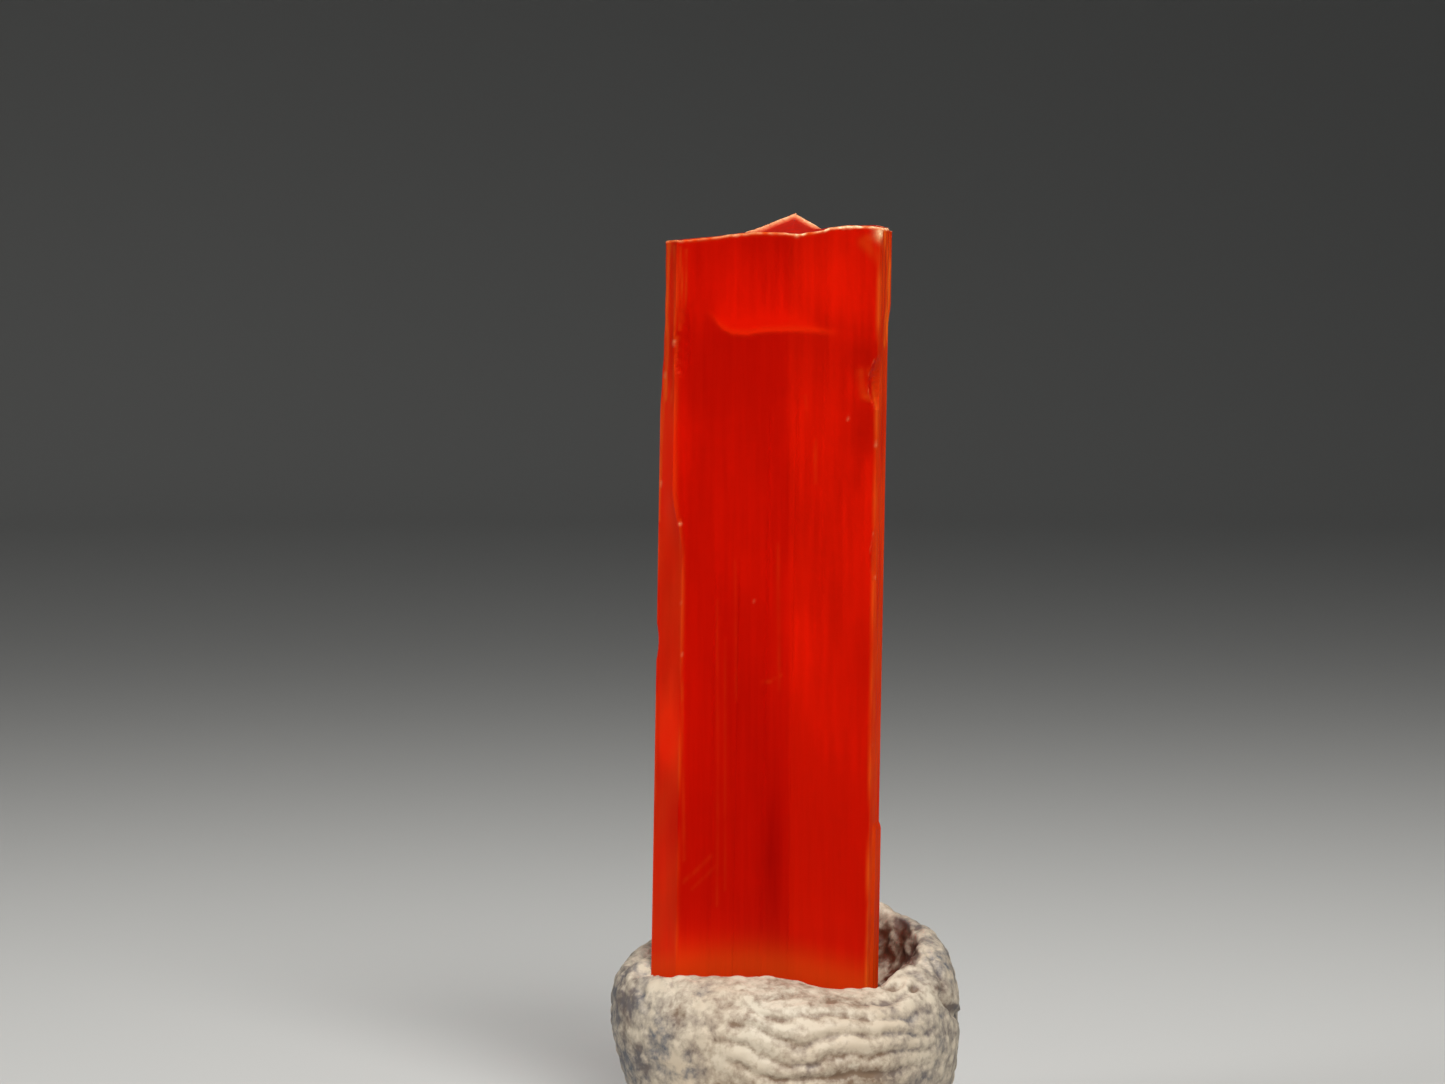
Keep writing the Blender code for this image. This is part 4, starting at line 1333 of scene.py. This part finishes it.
class CROCOITE_OT_putty(bpy.types.Operator):
    """Knead the putty round the crystal's foot and press the finger ridges into it"""

    bl_idname = "crocoite.putty"
    bl_label = "Putty"

    def execute(self, context):
        chosen = settings("putty")
        lump = kneaded_putty(bpy.data.objects["crocoite_crystal"])
        values = {
            "Ridge Spacing": chosen.ridge_spacing,
            "Ridge Relief": chosen.ridge_relief,
            "Ridge Bend": RIDGE_BEND,
            "Ridge Wander": RIDGE_WANDER * MM,
            "Lump Size": LUMP_SIZE * MM,
            "Lump Relief": chosen.lump_relief,
            "Pit Size": PIT_SIZE * MM,
            "Pit Relief": chosen.pit_relief,
            "Seed": chosen.seed,
            "Material": putty_material(),
        }
        use_tree(lump, kneading_tree(), values)
        settle(lump)
        lump.data.shade_smooth()
        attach(lump, "root")
        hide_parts("putty")
        return {"FINISHED"}


# The stage is a wide shallow bowl, so that it looks the same from every side.
FLOOR_RADIUS = 230 * MM
SWEEP_RADIUS = 80 * MM
WALL_TOP_Z = 240 * MM
SWEEP_STEPS = 16
BOWL_STEPS = 96

# Each light: place and target in millimetres, size in millimetres, share of the key's power.
LIGHTS = {
    "key": ((50, -190, 150), (0, 0, 10), 110, 0.96),
    "fill": ((-170, -90, 120), (0, 0, 12), 140, 0.42),
    "top": ((20, -10, 230), (0, 0, 12), 120, 0.38),
}
LIGHT_SPREAD_DEG = 44
WORLD_STRENGTH = 0.16


class CROCOITE_OT_stage(bpy.types.Operator):
    """Lay the pale floor and backdrop, and set the soft lights and the camera"""

    bl_idname = "crocoite.stage"
    bl_label = "Stage"

    def execute(self, context):
        self.lay_floor()
        self.set_lights(context.scene)
        self.set_camera(context.scene)
        return {"FINISHED"}

    def lay_floor(self):
        work = bmesh.new()
        profile = [(0.0, 0.0), (FLOOR_RADIUS, 0.0)]
        for step in range(1, SWEEP_STEPS + 1):
            turn = math.pi / 2 * step / SWEEP_STEPS
            radius = FLOOR_RADIUS + SWEEP_RADIUS * math.sin(turn)
            profile.append((radius, SWEEP_RADIUS * (1 - math.cos(turn))))
        profile.append((FLOOR_RADIUS + SWEEP_RADIUS, WALL_TOP_Z))
        points = [work.verts.new((radius, 0, z)) for radius, z in profile]
        edges = [work.edges.new(pair) for pair in zip(points, points[1:])]
        bmesh.ops.spin(
            work, geom=points + edges, axis=(0, 0, 1), cent=(0, 0, 0), angle=2 * math.pi,
            steps=BOWL_STEPS,
        )
        bmesh.ops.remove_doubles(work, verts=work.verts, dist=0.01 * MM)
        mesh = bpy.data.meshes.new("pale_bowl")
        work.to_mesh(mesh)
        work.free()
        mesh.shade_smooth()
        bowl = new_object("pale_bowl", mesh)
        look, tree = empty_material("painted board")
        colour = (*settings("stage").floor_colour, 1.0)
        shader = add(tree, "ShaderNodeBsdfPrincipled", {"Base Color": colour, "Roughness": 0.85})
        add(tree, "ShaderNodeOutputMaterial", {"Surface": shader})
        mesh.materials.append(look)

    def set_lights(self, scene):
        power = settings("stage").key_power
        for name, (place, target, size, share) in LIGHTS.items():
            lamp = bpy.data.lights.new(name, "AREA")
            lamp.shape = "DISK"
            lamp.size = size * MM
            lamp.energy = power * share
            lamp.spread = math.radians(LIGHT_SPREAD_DEG)
            thing = new_object(name, lamp)
            thing.location = Vector(place) * MM
            aim = (Vector(target) - Vector(place)).to_track_quat("-Z", "Y")
            thing.rotation_euler = aim.to_euler()
        world = bpy.data.worlds.new("soft room")
        world.use_nodes = True
        background = world.node_tree.nodes["Background"]
        background.inputs["Color"].default_value = linear("#C9CDD2")
        background.inputs["Strength"].default_value = WORLD_STRENGTH
        scene.world = world

    def set_camera(self, scene):
        camera = bpy.data.cameras.new("camera")
        thing = new_object("camera", camera)
        tilt = math.radians(CAMERA_ELEVATION_DEG)
        away = Vector((0, -math.cos(tilt), math.sin(tilt)))
        thing.location = (Vector(AIM_MM) + away * CAMERA_DISTANCE_MM) * MM
        thing.rotation_euler = (-away).to_track_quat("-Z", "Y").to_euler()
        camera.sensor_width = SENSOR_WIDTH
        camera.lens = SENSOR_WIDTH * CAMERA_DISTANCE_MM * PIXELS_PER_MM / PHOTO_SIZE[0]
        camera.clip_start = 1 * MM
        camera.clip_end = 10.0
        scene.camera = thing
        scene.view_settings.view_transform = "Standard"
        scene.view_settings.look = "None"


class CROCOITE_PT_panel(bpy.types.Panel):
    """Lists the pieces in the sidebar"""

    bl_idname = "CROCOITE_PT_panel"
    bl_label = "Crocoite in Putty"
    bl_space_type = "VIEW_3D"
    bl_region_type = "UI"
    bl_category = "Crocoite"

    def draw(self, context):
        for name in SETTINGS:
            column = self.layout.column()
            group = getattr(context.scene, "crocoite_" + name)
            for key in group.__annotations__:
                column.prop(group, key)
            column.operator("crocoite." + name)


SETTINGS = {
    "crystal": CrocoiteCrystalSettings,
    "putty": CrocoitePuttySettings,
    "stage": CrocoiteStageSettings,
}
CLASSES = (
    *SETTINGS.values(),
    CROCOITE_OT_crystal,
    CROCOITE_OT_putty,
    CROCOITE_OT_stage,
    CROCOITE_PT_panel,
)


def register():
    for kind in CLASSES:
        bpy.utils.register_class(kind)
    for name, group in SETTINGS.items():
        setattr(bpy.types.Scene, "crocoite_" + name, PointerProperty(type=group))


def unregister():
    for name in SETTINGS:
        delattr(bpy.types.Scene, "crocoite_" + name)
    for kind in reversed(CLASSES):
        bpy.utils.unregister_class(kind)


def main():
    register()
    bpy.ops.crocoite.crystal()
    bpy.ops.crocoite.putty()
    bpy.ops.crocoite.stage()


if __name__ == "__main__":
    main()
